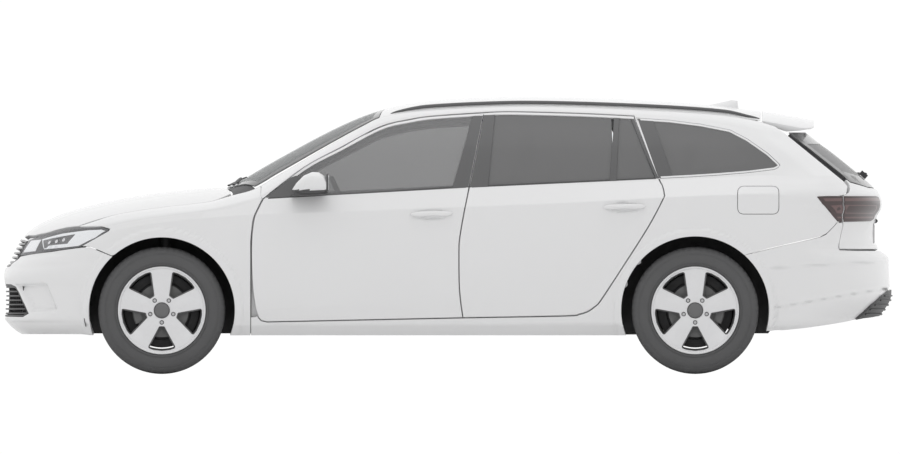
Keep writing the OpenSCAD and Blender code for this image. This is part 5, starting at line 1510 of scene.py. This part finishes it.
for ax_, fr_, cx in (("front", True, AXF), ("rear", False, AXR)):
    for s in (-1, 1):
        side = BODYN[s]
        wb = "%s_%s_wheel" % (ax_, side)
        y0 = s * HT
        # tyre with grooves across the shoulders
        prof = tyre_profile()
        n = 192
        k = len(prof)
        V, F, FM = [], [], []
        for i in range(n):
            a = 2 * math.pi * i / n
            for j, (r, w) in enumerate(prof):
                rr = r
                if 52 < abs(w) < 97 and r > 318 and (i % 3 == 0):
                    rr = r - 3.6
                if abs(w) < 45 and r > 335 and ((i + (4 if w > 0 else 0)) % 8 == 0):
                    rr = r - 4.0
                b = a + (0.006 * math.sin(w / 20.0) if r > 318 else 0)
                V.append(((cx + rr * math.cos(b)) / 1000, (y0 + s * w) / 1000, (WR + rr * math.sin(b)) / 1000))
        for i in range(n):
            for j in range(k):
                F.append((i * k + j, i * k + (j + 1) % k, ((i + 1) % n) * k + (j + 1) % k, ((i + 1) % n) * k + j))
        ob = new_mesh("tyre_%s_%s_rubber" % (ax_, side), V, F, [RUBBER], smooth=False)
        fix_normals(ob)
        soft(ob, 28)
        ride(ob, wb, "tyre_%s_%s" % (ax_, side), slot="tyre")
        for q, rr in enumerate((246.0, 300.0)):
            lathe("tyre_ring_%d_%s_%s" % (q, ax_, side), [(rr - 2.2, 100), (rr - 1.4, 108.2 - (2.5 if q == 0 else 0.8)), (rr + 1.4, 108.2 - (2.5 if q == 0 else 0.8)), (rr + 2.2, 100)],
                  (cx, y0, WR), s, RUBBER, wb, n=96)
        # barrel and flanges
        bp = [(233.5, 95), (231.5, 98.5), (226, 98.5), (222, 95), (219, 84), (216, 60), (206, 30), (203, -20), (210, -70), (222, -90), (231, -96),
              (233.5, -95), (230, -88), (222, -84), (212, -64), (206, -20), (209, 30), (222, 80), (230, 90)]
        # faces marked 1 take the dark alloy copy: painted shade on the barrel
        fmid = [0, 0, 0, 0, 1, 1, 1, 1, 1, 1, 0, 0, 1, 1, 1, 1, 1, 0, 0]
        ob = lathe("rim_barrel_%s_%s" % (ax_, side), bp, (cx, y0, WR), s, ALLOY, wb, n=96, mats=[ALLOY, ALLOY_SHADE], fm=fmid)
        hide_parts("rim_%s_%s" % (ax_, side))

        def face(a, b, cx=cx, s=s, y0=y0):
            r = np.hypot(a, b)
            th = np.degrees(np.arctan2(b, a))
            dth = np.abs((th - 90 + 36) % 72 - 36)
            crown = 3.5 * sst((20 - dth) / 20) * sst((r - 50) / 60)
            w = 84 + 8 * sst((r - 150) / 75) - 6 * sst((70 - r) / 60) + crown - 3.5
            return cx + a, y0 + s * w, WR + b
        FS = Surf(face, sgn=-s)
        circ = np.array([(224.5 * math.cos(t), 224.5 * math.sin(t)) for t in np.linspace(0, 2 * math.pi, 121)[:-1]])
        holes = []
        for kq in range(5):
            ph = 54 + 72 * kq
            pts = [(86, -9.0), (86, 9.0), (212, 20.6)] + [(214, 12), (215, 0), (214, -12)] + [(212, -20.6)]
            P = np.array([(r * math.cos(math.radians(ph + t)), r * math.sin(math.radians(ph + t))) for r, t in pts])
            holes.append(dense(rounded(P, [7, 7, 11, 0, 0, 0, 11], 5), 8))
        # wells for the bolts
        wells = [np.array([(64 * math.cos(math.radians(54 + 72 * kq)) + 11.5 * math.cos(t), 64 * math.sin(math.radians(54 + 72 * kq)) + 11.5 * math.sin(t))
                           for t in np.linspace(0, 2 * math.pi, 25)[:-1]]) for kq in range(5)]
        centre = np.array([(41.5 * math.cos(t), 41.5 * math.sin(t)) for t in np.linspace(0, 2 * math.pi, 49)[:-1]])
        # spoke sides and backs in the dark alloy copy: painted shade
        panel("rim_face_%s_%s" % (ax_, side), FS, [circ] + holes + wells + [centre], ALLOY, wb, [], step=11, thick=26, roll=3.2,
              edge_mat=ALLOY_SHADE, back_mat=ALLOY_SHADE)
        # second step inside each pocket, in the dark alloy copy: painted shade in the pocket
        for kq in range(5):
            o1 = offset(ccw(holes[kq]), 5.0)
            sweep("pocket_step_%d_%s_%s" % (kq, ax_, side), FS, ccw(holes[kq]), [(-0.6, 17), (6.0, 22), (6.5, 48), (-0.6, 48)], ALLOY_SHADE, wb)
        cap = [(0.1, 88), (20, 87.4), (33, 85.5), (38.5, 82), (40, 77), (40, 60), (0.1, 60)]
        lathe("hub_cap_%s_%s" % (ax_, side), cap, (cx, y0, WR), s, CAPG, wb, n=48)
        # hub core in the dark alloy copy: painted shade behind the cap
        hub = [(0.1, 70), (80, 70), (80, 24), (62, 14), (0.1, 14)]
        lathe("hub_core_%s_%s" % (ax_, side), hub, (cx, y0, WR), s, ALLOY_SHADE, wb, n=48)
        for kq in range(5):
            c, q = math.cos(math.radians(54 + 72 * kq)), math.sin(math.radians(54 + 72 * kq))
            hexo = [(8.2 * math.cos(t), 8.2 * math.sin(t)) for t in np.linspace(0, 2 * math.pi, 7)[:-1]]
            prism("wheel_bolt_%d_%s_%s" % (kq, ax_, side), hexo, 69, 79,
                  lambda a, b, cc, c=c, q=q, s=s, cx=cx, y0=y0: (cx + 64 * c + a, y0 + s * cc, WR + 64 * q + b), BOLT, wb, bevel=1.4)
        # brake disc turns with the wheel, caliper stays
        dp = [(60, 8), (142, 8), (142, -3), (143, -4), (143, -14), (60, -14)]
        lathe("brake_disc_%s_%s" % (ax_, side), [(60, 4), (60, -18), (142, -18), (142, -10), (139, -8), (139, -6), (142, -4), (142, 4)], (cx, y0, WR), s, DISC, wb, n=96)
        V = []
        th = np.linspace(math.radians(150), math.radians(208), 14)
        cal = [(120, -34), (150, -34), (156, -30), (156, 16), (150, 20), (112, 20), (112, 9), (147, 9), (147, -23), (120, -23)]
        F = []
        for t in th:
            for r, w in cal:
                V.append(((cx + r * math.cos(t) * (1 if fr_ else -1)) / 1000, (y0 + s * w) / 1000, (WR + r * math.sin(t)) / 1000))
        kk = len(cal)
        for i in range(len(th) - 1):
            for j in range(kk):
                F.append((i * kk + j, i * kk + (j + 1) % kk, (i + 1) * kk + (j + 1) % kk, (i + 1) * kk + j))
        F += [tuple(range(kk))[::-1], tuple((len(th) - 1) * kk + j for j in range(kk))]
        ob = new_mesh("brake_caliper_%s_%s" % (ax_, side), V, F, [PAD], smooth=False)
        fix_normals(ob)
        soft(ob, 30)
        ride(ob, ("%s_knuckle" % side) if fr_ else "root", slot="chassis_steel")

# ------------------------------------------------------------------ door handles, mirrors, wipers
for s in (-1, 1):
    side, sm = BODYN[s], SM[s]
    P0 = sm.surf()
    for which, cx, cz in (("front", -84, 842), ("rear", 938, 880)):
        body = "%s_%s_door" % (which, side)
        V, F = [], []
        ns, nr = 34, 18
        for i in range(ns):
            u = -1 + 2 * i / (ns - 1)
            x = cx + 112 * u
            e = max(0.0, 1 - abs(u) ** 3.2)
            hz = 5 + 25.5 * e ** 0.55
            hz = hz * (1 - 0.20 * math.exp(-(u / 0.45) ** 2))
            lift = 3 + 25 * max(0.0, 1 - abs(u) ** 2.4) ** 0.8
            thk = 5 + 9 * e ** 0.5
            zc_ = cz + 6 + 0.02 * (x - cx) + 2.5 * math.exp(-(u / 0.5) ** 2)
            v0 = float(sm.v(np.array(x), np.array(zc_)))
            c = P0.pt(np.array(x), np.array(v0))
            n_ = P0.nrm(np.array(x), np.array(v0))
            up = np.array([0, 0, 1.0])
            up = up - n_ * float(up @ n_)
            up /= np.linalg.norm(up)
            for j in range(nr):
                a = 2 * math.pi * j / nr
                ca, sa = math.cos(a), math.sin(a)
                p = c + n_ * (lift + thk * 0.6 * ca * (1 if ca > 0 else 0.8)) + up * (hz / 2 * math.copysign(abs(sa) ** 0.75, sa))
                V.append(p / 1000)
        for i in range(ns - 1):
            for j in range(nr):
                F.append((i * nr + j, i * nr + (j + 1) % nr, (i + 1) * nr + (j + 1) % nr, (i + 1) * nr + j))
        F += [tuple(range(nr))[::-1], tuple((ns - 1) * nr + j for j in range(nr))]
        ob = new_mesh("handle_%s_%s" % (which, side), V, F, [PAINT], smooth=False)
        fix_normals(ob)
        soft(ob, 60)
        ride(ob, body, slot="body_paint")
        for e_ in (-1, 1):
            x = cx + e_ * 98
            v0 = sm.v(np.array(float(x)), np.array(float(cz + 6)))
            c = P0.at(np.array(float(x)), v0, 3.0)
            q = Vector(P0.nrm(np.array(float(x)), v0)).to_track_quat("Z", "Y").to_matrix()
            # handle feet in the darker paint copy: painted shade under the handle
            prism("handle_foot_%s_%s_%d" % (which, side, e_), rounded([[-11, -9], [11, -9], [11, 9], [-11, 9]], 5, 3), -3, 10,
                  lambda a, b, cc, c=c, q=q: tuple(Vector(c) + q @ Vector((a, b, cc))), PAINT_SHADE_INNER, body, bevel=1.5)
    # mirror: painted cap, dark base and frame, silver glass
    mb = "front_%s_door" % side
    def superell(cx_, cy_, cz_, rx, ry, rz, px, n=32, m=20):
        V, F = [], []
        for i in range(m + 1):
            ph = math.pi * i / m
            for j in range(n):
                th = 2 * math.pi * j / n
                k = lambda v, p: math.copysign(abs(v) ** p, v)
                V.append([cx_ + rx * k(math.cos(ph), px), cy_ + ry * math.sin(ph) ** px * k(math.cos(th), px), cz_ + rz * math.sin(ph) ** px * k(math.sin(th), px)])
        for i in range(m):
            for j in range(n):
                F.append((i * n + j, i * n + (j + 1) % n, (i + 1) * n + (j + 1) % n, (i + 1) * n + j))
        return V, F
    # cap: from the photograph-side outline, x -826..-634, z 935..1072
    ns, nr = 30, 26
    V, F = [], []
    for i in range(ns):
        t = i / (ns - 1)
        x = -822 + 180 * t
        top = float(np.interp(x, [-822, -800, -760, -715, -680, -650, -642], [985, 1012, 1052, 1071, 1069, 1050, 1030]))
        bot = float(np.interp(x, [-822, -800, -760, -715, -680, -650, -642], [966, 958, 956, 958, 960, 964, 970]))
        yi = float(np.interp(x, [-822, -780, -700, -642], [938, 926, 920, 920]))
        yo = float(np.interp(x, [-822, -800, -760, -715, -680, -642], [975, 1012, 1045, 1058, 1060, 1054]))
        k0 = 0.35 + 0.65 * min(1.0, (t / 0.12)) ** 0.5 if t < 0.12 else 1.0
        cy_, cz_ = (yi + yo) / 2, (top + bot) / 2
        ry, rz = (yo - yi) / 2 * k0, (top - bot) / 2 * k0
        for j in range(nr):
            a = 2 * math.pi * j / nr
            ca, sa = math.cos(a), math.sin(a)
            V.append((x / 1000, s * (cy_ + ry * math.copysign(abs(ca) ** 0.7, ca)) / 1000, (cz_ + rz * math.copysign(abs(sa) ** 0.75, sa)) / 1000))
    for i in range(ns - 1):
        for j in range(nr):
            F.append((i * nr + j, i * nr + (j + 1) % nr, (i + 1) * nr + (j + 1) % nr, (i + 1) * nr + j))
    F += [tuple(range(nr))[::-1], tuple((ns - 1) * nr + j for j in range(nr))]
    fm = []
    for f in F:
        zc_ = sum(V[k][2] for k in f) / len(f)
        fm.append(1 if zc_ < 0.976 else 0)
    ob = new_mesh("mirror_cap_" + side, V, F, [PAINT, BLACKP], fm, smooth=False)
    fix_normals(ob)
    soft(ob, 50)
    ride(ob, mb, "mirror_" + side, slot="body_paint")
    fr2 = rounded([[930, 966], [1046, 968], [1054, 985], [1050, 1050], [1030, 1062], [940, 1060], [926, 1040]], 16, 4)
    prism("mirror_frame_" + side, fr2, -640, -630, lambda a, b, cc, s=s: (cc, s * a, b), BLACKP, mb, bevel=3)
    prism("mirror_glass_" + side, offset(ccw(dense(fr2, 10)), 7), -631, -628.5, lambda a, b, cc, s=s: (cc, s * a, b), MIRRORG, mb, bevel=0.8)
    ft = rounded([[-836, 938], [-700, 944], [-650, 948], [-648, 964], [-760, 966], [-815, 962]], 8, 4)
    prism("mirror_foot_" + side, ft, 868, 1000, lambda a, b, cc, s=s: (a + 0.10 * (cc - 868), s * cc, b + 0.05 * (cc - 868)), BLACKP, mb, bevel=6, seg=3)
    panel("mirror_sail_trim_" + side, P0, [tov(sm, dense(rounded([[-962, 934], [-742, 944], [-742, 1004], [-795, 1050], [-832, 1038]], 8, 3), 10))],
          GREYTRIM, mb, [], step=26, roll=1.2, thick=7, depth=-1.2, steps=2)
    # wipers on the windshield
    for k, (y0_, y1_) in enumerate(((-420, 190), (180, 640)) if s < 0 else ()):
        py = (-430, 150)[k]
        pxx = (-1132, -1158)[k]
        tip = ((-1070, 110), (-1078, 600))[k]
        base = Vector((pxx, py, float(T(pxx, py)) + 6))
        ts = np.linspace(0, 1, 14)
        pts = []
        for t in ts:
            x = pxx + (tip[0] - pxx) * t
            y = py + (tip[1] - py) * t
            x = x + 0.0
            pts.append((x, y, float(T(x, y)) + 8 + 6 * math.sin(math.pi * t)))
        sweep_tube("wiper_arm_%d" % k, [p for p in pts[:9]], 6, WIPER, "root", n=10, squash=(1.3, 0.8))
        bl_ = [(x + 6, y, z - 5) for x, y, z in pts[3:]]
        sweep_tube("wiper_blade_%d" % k, bl_, 5.5, WIPER, "root", n=8, squash=(1.0, 0.8))


# ------------------------------------------------------------------ wheel housings
for ax_, cx, yin, yout in (("front", AXF, 486, 862), ("rear", AXR, 602, 850)):
    for s in (-1, 1):
        side = BODYN[s]
        th = [math.radians(a) for a in range(-12, 193, 4)]
        sec = [(yin, 415), (yin + 6, 411), (yout, 411), (yout, 415)]
        V, F = [], []
        for i, t in enumerate(th):
            rib = 1.6 if i % 6 == 3 else 0.0
            for y, r in sec:
                V.append(((cx + (r - rib) * math.cos(t)) / 1000, s * y / 1000, (WR + (r - rib) * math.sin(t)) / 1000))
        for i in range(len(th) - 1):
            for j in range(4):
                F.append((i * 4 + j, i * 4 + (j + 1) % 4, (i + 1) * 4 + (j + 1) % 4, (i + 1) * 4 + j))
        F += [(0, 1, 2, 3), tuple((len(th) - 1) * 4 + j for j in range(4))]
        ob = new_mesh("arch_liner_%s_%s" % (ax_, side), V, F, [LINER], smooth=False)
        fix_normals(ob)
        soft(ob, 25)
        ride(ob, "root", slot="black_plastic")
        # inner wall, ringed round the stub axle
        notch = 92 if ax_ == "rear" else 60
        V, F = [], []
        rs = [notch, 180, 260, 330, 380, 412]
        tt = [math.radians(a) for a in range(-30, 211, 5)]
        for d in (0, 4):
            for t in tt:
                for r in rs:
                    x, z = cx + r * math.cos(t), WR + r * math.sin(t)
                    z = max(z, 215)
                    V.append((x / 1000, s * (yin + d + 5 * sst((r - 260) / 60) * (1 - sst((r - 350) / 40))) / 1000, z / 1000))
        m_, n_ = len(tt), len(rs)
        for d in (0, 1):
            o = d * m_ * n_
            for i in range(m_ - 1):
                for j in range(n_ - 1):
                    F.append((o + i * n_ + j, o + (i + 1) * n_ + j, o + (i + 1) * n_ + j + 1, o + i * n_ + j + 1))
        ob = new_mesh("arch_wall_%s_%s" % (ax_, side), V, F, [LINER], smooth=False)
        ride(ob, "root", slot="black_plastic")


# ------------------------------------------------------------------ seats
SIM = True


def pad_mesh(name, prof, y0, w, sit, bolster=0.0, inset=42, m_=26):
    """closed pad: side outline swept over the width, pulled in at both ends, raised at its sides"""
    P = dense(rounded(prof, 26, 5), 24)
    P = ccw(P)
    c = P.mean(0)
    k = len(P)
    T_ = np.roll(P, -1, 0) - np.roll(P, 1, 0)
    N_ = np.stack([T_[:, 1], -T_[:, 0]], 1)
    N_ /= np.linalg.norm(N_, axis=1)[:, None]
    wt = np.array([sit(p) for p in P])
    V, F = [], []
    hw = w / 2
    size = max(np.ptp(P[:, 0]), np.ptp(P[:, 1])) / 2
    for i in range(m_ + 1):
        ph = math.pi * i / m_
        u = -math.cos(ph)
        e = max(0.0, 1 - abs(u) ** 9) ** (1 / 3.0)
        y = y0 + hw * u
        ins = inset * (1 - e)
        Q = P - N_ * ins
        Q = Q + N_ * (bolster * wt * sst((abs(u) - 0.55) / 0.22) * sst((1.02 - abs(u)) / 0.12))[:, None]
        if i in (0, m_):
            Q = P - N_ * inset
        for p in Q:
            V.append((p[0] / 1000, y / 1000, p[1] / 1000))
    for i in range(m_):
        for j in range(k):
            F.append((i * k + j, i * k + (j + 1) % k, (i + 1) * k + (j + 1) % k, (i + 1) * k + j))
    F += [tuple(range(k))[::-1], tuple(m_ * k + j for j in range(k))]
    ob = new_mesh(name, V, F, [SEATM, SEATS], smooth=False)
    fix_normals(ob)
    return ob


def puff(ob, cap=22.0, voxel=0.006, frames=14):
    """remesh, inflate as cloth, cap the travel and keep the result as plain mesh"""
    md = ob.modifiers.new("v", "REMESH")
    md.mode = "VOXEL"
    md.voxel_size = voxel
    dg = bpy.context.evaluated_depsgraph_get()
    me = bpy.data.meshes.new_from_object(ob.evaluated_get(dg))
    ob.modifiers.clear()
    old = ob.data
    mats_ = [m for m in old.materials]
    ob.data = me
    me.materials.clear()
    for m in mats_:
        me.materials.append(m)
    n = len(me.vertices)
    a = np.empty(n * 3)
    me.vertices.foreach_get("co", a)
    if SIM:
        cl = ob.modifiers.new("c", "CLOTH")
        st = cl.settings
        st.quality = 3
        st.mass = 0.3
        st.use_pressure = True
        st.uniform_pressure_force = 4.0
        st.effector_weights.gravity = 0
        cl.collision_settings.use_collision = False
        cl.point_cache.frame_start = 1
        cl.point_cache.frame_end = frames + 1
        sc = bpy.context.scene
        for f in range(1, frames + 1):
            sc.frame_set(f)
        dg = bpy.context.evaluated_depsgraph_get()
        ev = ob.evaluated_get(dg)
        b = np.empty(n * 3)
        ev.data.vertices.foreach_get("co", b)
        d = (b - a).reshape(-1, 3)
        d = np.nan_to_num(d)
        l = np.linalg.norm(d, axis=1)
        d *= np.minimum(1.0, (cap / 1000) / np.maximum(l, 1e-9))[:, None]
        a = (a.reshape(-1, 3) + d).reshape(-1)
        ob.modifiers.clear()
        sc.frame_set(1)
        me.vertices.foreach_set("co", a)
        me.update()
    return ob


def sew(ob, y0, hw, chan, sit_n, ys=0.60, deep=5.0):
    """seams after the inflation: two lengthwise and a few crosswise channels on the sitting side"""
    me = ob.data
    n = len(me.vertices)
    a = np.empty(n * 3)
    me.vertices.foreach_get("co", a)
    nn = np.array([v.normal for v in me.vertices]).reshape(-1, 3)
    P = a.reshape(-1, 3) * 1000
    on = sst((nn @ np.array(sit_n) - 0.05) / 0.5)
    dep = np.zeros(n)
    for k in (-1, 1):
        dep = np.maximum(dep, deep * np.exp(-((P[:, 1] - y0 - k * ys * hw) / 6.0) ** 2) * on)
    inner = sst((ys * hw + 2 - np.abs(P[:, 1] - y0)) / 8)
    for f in chan:
        dep = np.maximum(dep, deep * 0.8 * np.exp(-(f(P) / 5.5) ** 2) * on * inner)
    wr = 0.35 * np.sin(P[:, 0] * 0.06 + 1.7 * np.sin(P[:, 1] * 0.021)) * np.sin(P[:, 1] * 0.045 + P[:, 2] * 0.03)
    P = P - nn * (dep + wr)[:, None]
    me.vertices.foreach_set("co", (P / 1000).reshape(-1))
    cen = np.empty(len(me.polygons) * 3)
    me.polygons.foreach_get("center", cen)
    cen = cen.reshape(-1, 3) * 1000
    nf = np.empty(len(me.polygons) * 3)
    me.polygons.foreach_get("normal", nf)
    nf = nf.reshape(-1, 3)
    centre = (np.abs(cen[:, 1] - y0) < ys * hw) & (nf @ np.array(sit_n) > 0.2)
    me.polygons.foreach_set("material_index", np.where(centre, 0, 1).astype(np.int32))
    me.polygons.foreach_set("use_smooth", np.ones(len(me.polygons), dtype=bool))
    me.update()


def copy_pad(ob, name, dy, mirror=False):
    me = ob.data.copy()
    n = len(me.vertices)
    a = np.empty(n * 3)
    me.vertices.foreach_get("co", a)
    a = a.reshape(-1, 3)
    a[:, 1] += dy / 1000
    me.vertices.foreach_set("co", a.reshape(-1))
    me.update()
    o2 = bpy.data.objects.new(name, me)
    bpy.context.scene.collection.objects.link(o2)
    return o2


def pad_done(ob, *nodes):
    ride(ob, "root", *nodes, slot="seat_fabric")


SN = 1 / math.hypot(1, 0.3)
# front cushion, back and headrest on the left, copied to the right
fc = pad_mesh("front_cushion_left", [[-334, 385], [-338, 466], [-296, 508], [150, 480], [205, 466], [215, 392], [188, 372], [-310, 372]], -372, 452,
              lambda p: 1.0 if p[1] > 440 else 0.0, bolster=20)
puff(fc)
sew(fc, -372, 226, [lambda P: P[:, 0] + 215, lambda P: P[:, 0] + 120, lambda P: P[:, 0] + 25, lambda P: P[:, 0] - 70], (0, 0, 1.0))
fb = pad_mesh("front_back_left", [[176, 500], [262, 755], [338, 1030], [372, 1050], [430, 1032], [412, 955], [322, 640], [284, 440], [235, 418], [190, 440]], -372, 452,
              lambda p: 1.0 if p[0] < 150 + (p[1] - 490) * 0.33 + 40 else 0.0, bolster=24)
puff(fb)
sew(fb, -372, 226, [lambda P: P[:, 2] - 620, lambda P: P[:, 2] - 715, lambda P: P[:, 2] - 810, lambda P: P[:, 2] - 905], (-0.96, 0, 0.28))
fh = pad_mesh("front_headrest_left", [[381, 1108], [374, 1180], [392, 1262], [430, 1280], [466, 1258], [472, 1180], [450, 1110]], -372, 246,
              lambda p: 0.0, inset=30, m_=16)
puff(fh, cap=12)
sew(fh, -372, 123, [], (-0.96, 0, 0.1), ys=0.78, deep=2.5)
fc2, fb2, fh2 = copy_pad(fc, "front_cushion_right", 744), copy_pad(fb, "front_back_right", 744), copy_pad(fh, "front_headrest_right", 744)
rh = [copy_pad(fh, "rear_headrest_%d" % k, dy) for k, dy in enumerate((-8, 372, 752))]
for o in rh:
    me = o.data
    a = np.empty(len(me.vertices) * 3)
    me.vertices.foreach_get("co", a)
    a = a.reshape(-1, 3)
    a[:, 0] = 1.282 + (a[:, 0] - 0.424) * 0.86
    a[:, 2] = 1.158 + (a[:, 2] - 1.192) * 0.82
    me.vertices.foreach_set("co", a.reshape(-1))
    me.update()
rc = pad_mesh("rear_cushion", [[662, 360], [632, 496], [664, 534], [1060, 512], [1110, 490], [1150, 420], [1150, 360]], 0, 1116,
              lambda p: 1.0 if p[1] > 470 else 0.0, bolster=8, m_=44)
puff(rc, voxel=0.0078)
sew(rc, 0, 558, [lambda P: P[:, 0] - 760, lambda P: P[:, 0] - 880, lambda P: P[:, 0] - 1000, lambda P: np.abs(P[:, 1]) - 170], (0, 0, 1.0), ys=0.86)
rb = pad_mesh("rear_back", [[1082, 540], [1198, 860], [1244, 1042], [1284, 1056], [1308, 1034], [1282, 800], [1194, 606], [1160, 572], [1120, 520]], 0, 1116,
              lambda p: 1.0 if p[0] < 1060 + (p[1] - 525) * 0.36 + 30 else 0.0, bolster=10, m_=44, inset=26)
puff(rb, voxel=0.0078, cap=18)
sew(rb, 0, 558, [lambda P: P[:, 2] - 680, lambda P: P[:, 2] - 790, lambda P: P[:, 2] - 900, lambda P: np.abs(P[:, 1]) - 170], (-0.94, 0, 0.34), ys=0.86)
pad_done(fc, "front_seats")
for o in (fb, fh, fc2, fb2, fh2):
    pad_done(o)
pad_done(rc, "rear_seat")
for o in [rb] + rh:
    pad_done(o)
for s in (-1, 1):
    y = s * 372
    side = BODYN[s]
    block("seat_base_" + side, (-312, y - 205, 262), (188, y + 205, 380), CARD, "root", bevel=16)
    for q in (-1, 1):
        block("seat_rail_%s_%d" % (side, q), (-330, y + q * 180 - 16, 241), (205, y + q * 180 + 16, 266), STEELB, "root", bevel=3)
        sweep_tube("headrest_post_%s_%d" % (side, q), [(404, y + q * 60, 1020), (414, y + q * 60, 1080), (420, y + q * 60, 1140)], 6, STEELB, "root")
    block("seat_side_" + side, (60, y - s * 236 - 14, 372), (250, y - s * 236 + 14, 470), CARD, "root", bevel=10)
for k, dy in enumerate((-380, 0, 380)):
    for q in (-1, 1):
        sweep_tube("rear_post_%d_%d" % (k, q), [(1272, dy + q * 50, 1040), (1276, dy + q * 50, 1080), (1280, dy + q * 50, 1120)], 5, STEELB, "root")


# ------------------------------------------------------------------ splash shields behind the discs, exhaust
for ax_, fr_, cx in (("front", True, AXF), ("rear", False, AXR)):
    for s in (-1, 1):
        side = BODYN[s]
        lathe("splash_shield_%s_%s" % (ax_, side), [(66, -44), (150, -44), (156, -40), (190, -40), (197, -36), (197, -39), (190, -43.5), (156, -43.5), (150, -47.5), (66, -47.5)],
              (cx, s * HT, WR), s, STEELB, ("%s_knuckle" % side) if fr_ else "root", n=72)
ex = sweep_tube("exhaust_pipe", [(-980, 0, 232), (-400, 0, 232), (300, 0, 232), (1150, 0, 232), (1400, 0, 238), (1520, 0, 276), (1640, 0, 318)], 23, EXH, "root", n=24)
sil = rounded([[-186, 262], [186, 262], [186, 378], [-186, 378]], 52, 8)
sl = prism("exhaust_silencer", sil, 1612, 1968, lambda a, b, c: (c, a, b), EXH, "root", bevel=9, seg=3)
for k, x in enumerate((1634, 1946)):
    sweep_tube("silencer_seam_%d" % k, [(x, float(a), float(b)) for a, b in list(ccw(dense(sil, 20))) + [ccw(dense(sil, 20))[0]]], 4, EXH, "root", n=8)
sweep_tube("tail_pipe", [(1960, 110, 318), (2040, 120, 318), (2130, 126, 318)], 24, EXH, "root", n=24)

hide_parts("exhaust")


# ------------------------------------------------------------------ stage: floor, light, camera
fl = new_mesh("floor_sheet", [(-40, -40, 0), (40, -40, 0), (40, 40, 0), (-40, 40, 0)], [(0, 1, 2, 3)],
              [mat("floor_pale", (0.86, 0.86, 0.86), 0.9, noise=(3, 0.03), var=0.008)], smooth=False)
fl.location.z = -0.0005
w = bpy.data.worlds.new("studio")
SC.world = w
w.use_nodes = True
wt = w.node_tree
tc = wt.nodes.new("ShaderNodeTexCoord")
sx = wt.nodes.new("ShaderNodeSeparateXYZ")
ry = wt.nodes.new("ShaderNodeMapRange")
ry.inputs["From Min"].default_value = -1.0
ry.inputs["From Max"].default_value = 0.9
ry.inputs["To Min"].default_value = 0.74
ry.inputs["To Max"].default_value = 1.03
wt.links.new(tc.outputs["Generated"], sx.inputs[0])
wt.links.new(sx.outputs["Y"], ry.inputs["Value"])
wt.links.new(ry.outputs[0], wt.nodes["Background"].inputs["Color"])
w.node_tree.nodes["Background"].inputs["Strength"].default_value = 1.0
def area_light(name, loc, aim, size, power):
    d = bpy.data.lights.new(name, "AREA")
    d.shape = "RECTANGLE"
    d.size, d.size_y = size
    d.energy = power
    o = bpy.data.objects.new(name, d)
    o.location = loc
    o.rotation_euler = (Vector(aim) - Vector(loc)).to_track_quat("-Z", "Y").to_euler()
    SC.collection.objects.link(o)
area_light("soft_top", (0.0, -1.0, 6.5), (0, 0, 0.6), (9, 5), 60)
area_light("soft_side", (-1.5, -8.0, 4.2), (0, 0, 0.7), (8, 4), 20)
cd = bpy.data.cameras.new("photo_camera")
cam = bpy.data.objects.new("photo_camera", cd)
SC.collection.objects.link(cam)
cd.type = "ORTHO"
cd.ortho_scale = 4.77
cd.clip_end = 200
cam.location = (0.0146, -12.0, 0.779)
cam.rotation_euler = (math.radians(90), 0, 0)
SC.camera = cam
SC.view_settings.view_transform = "Standard"
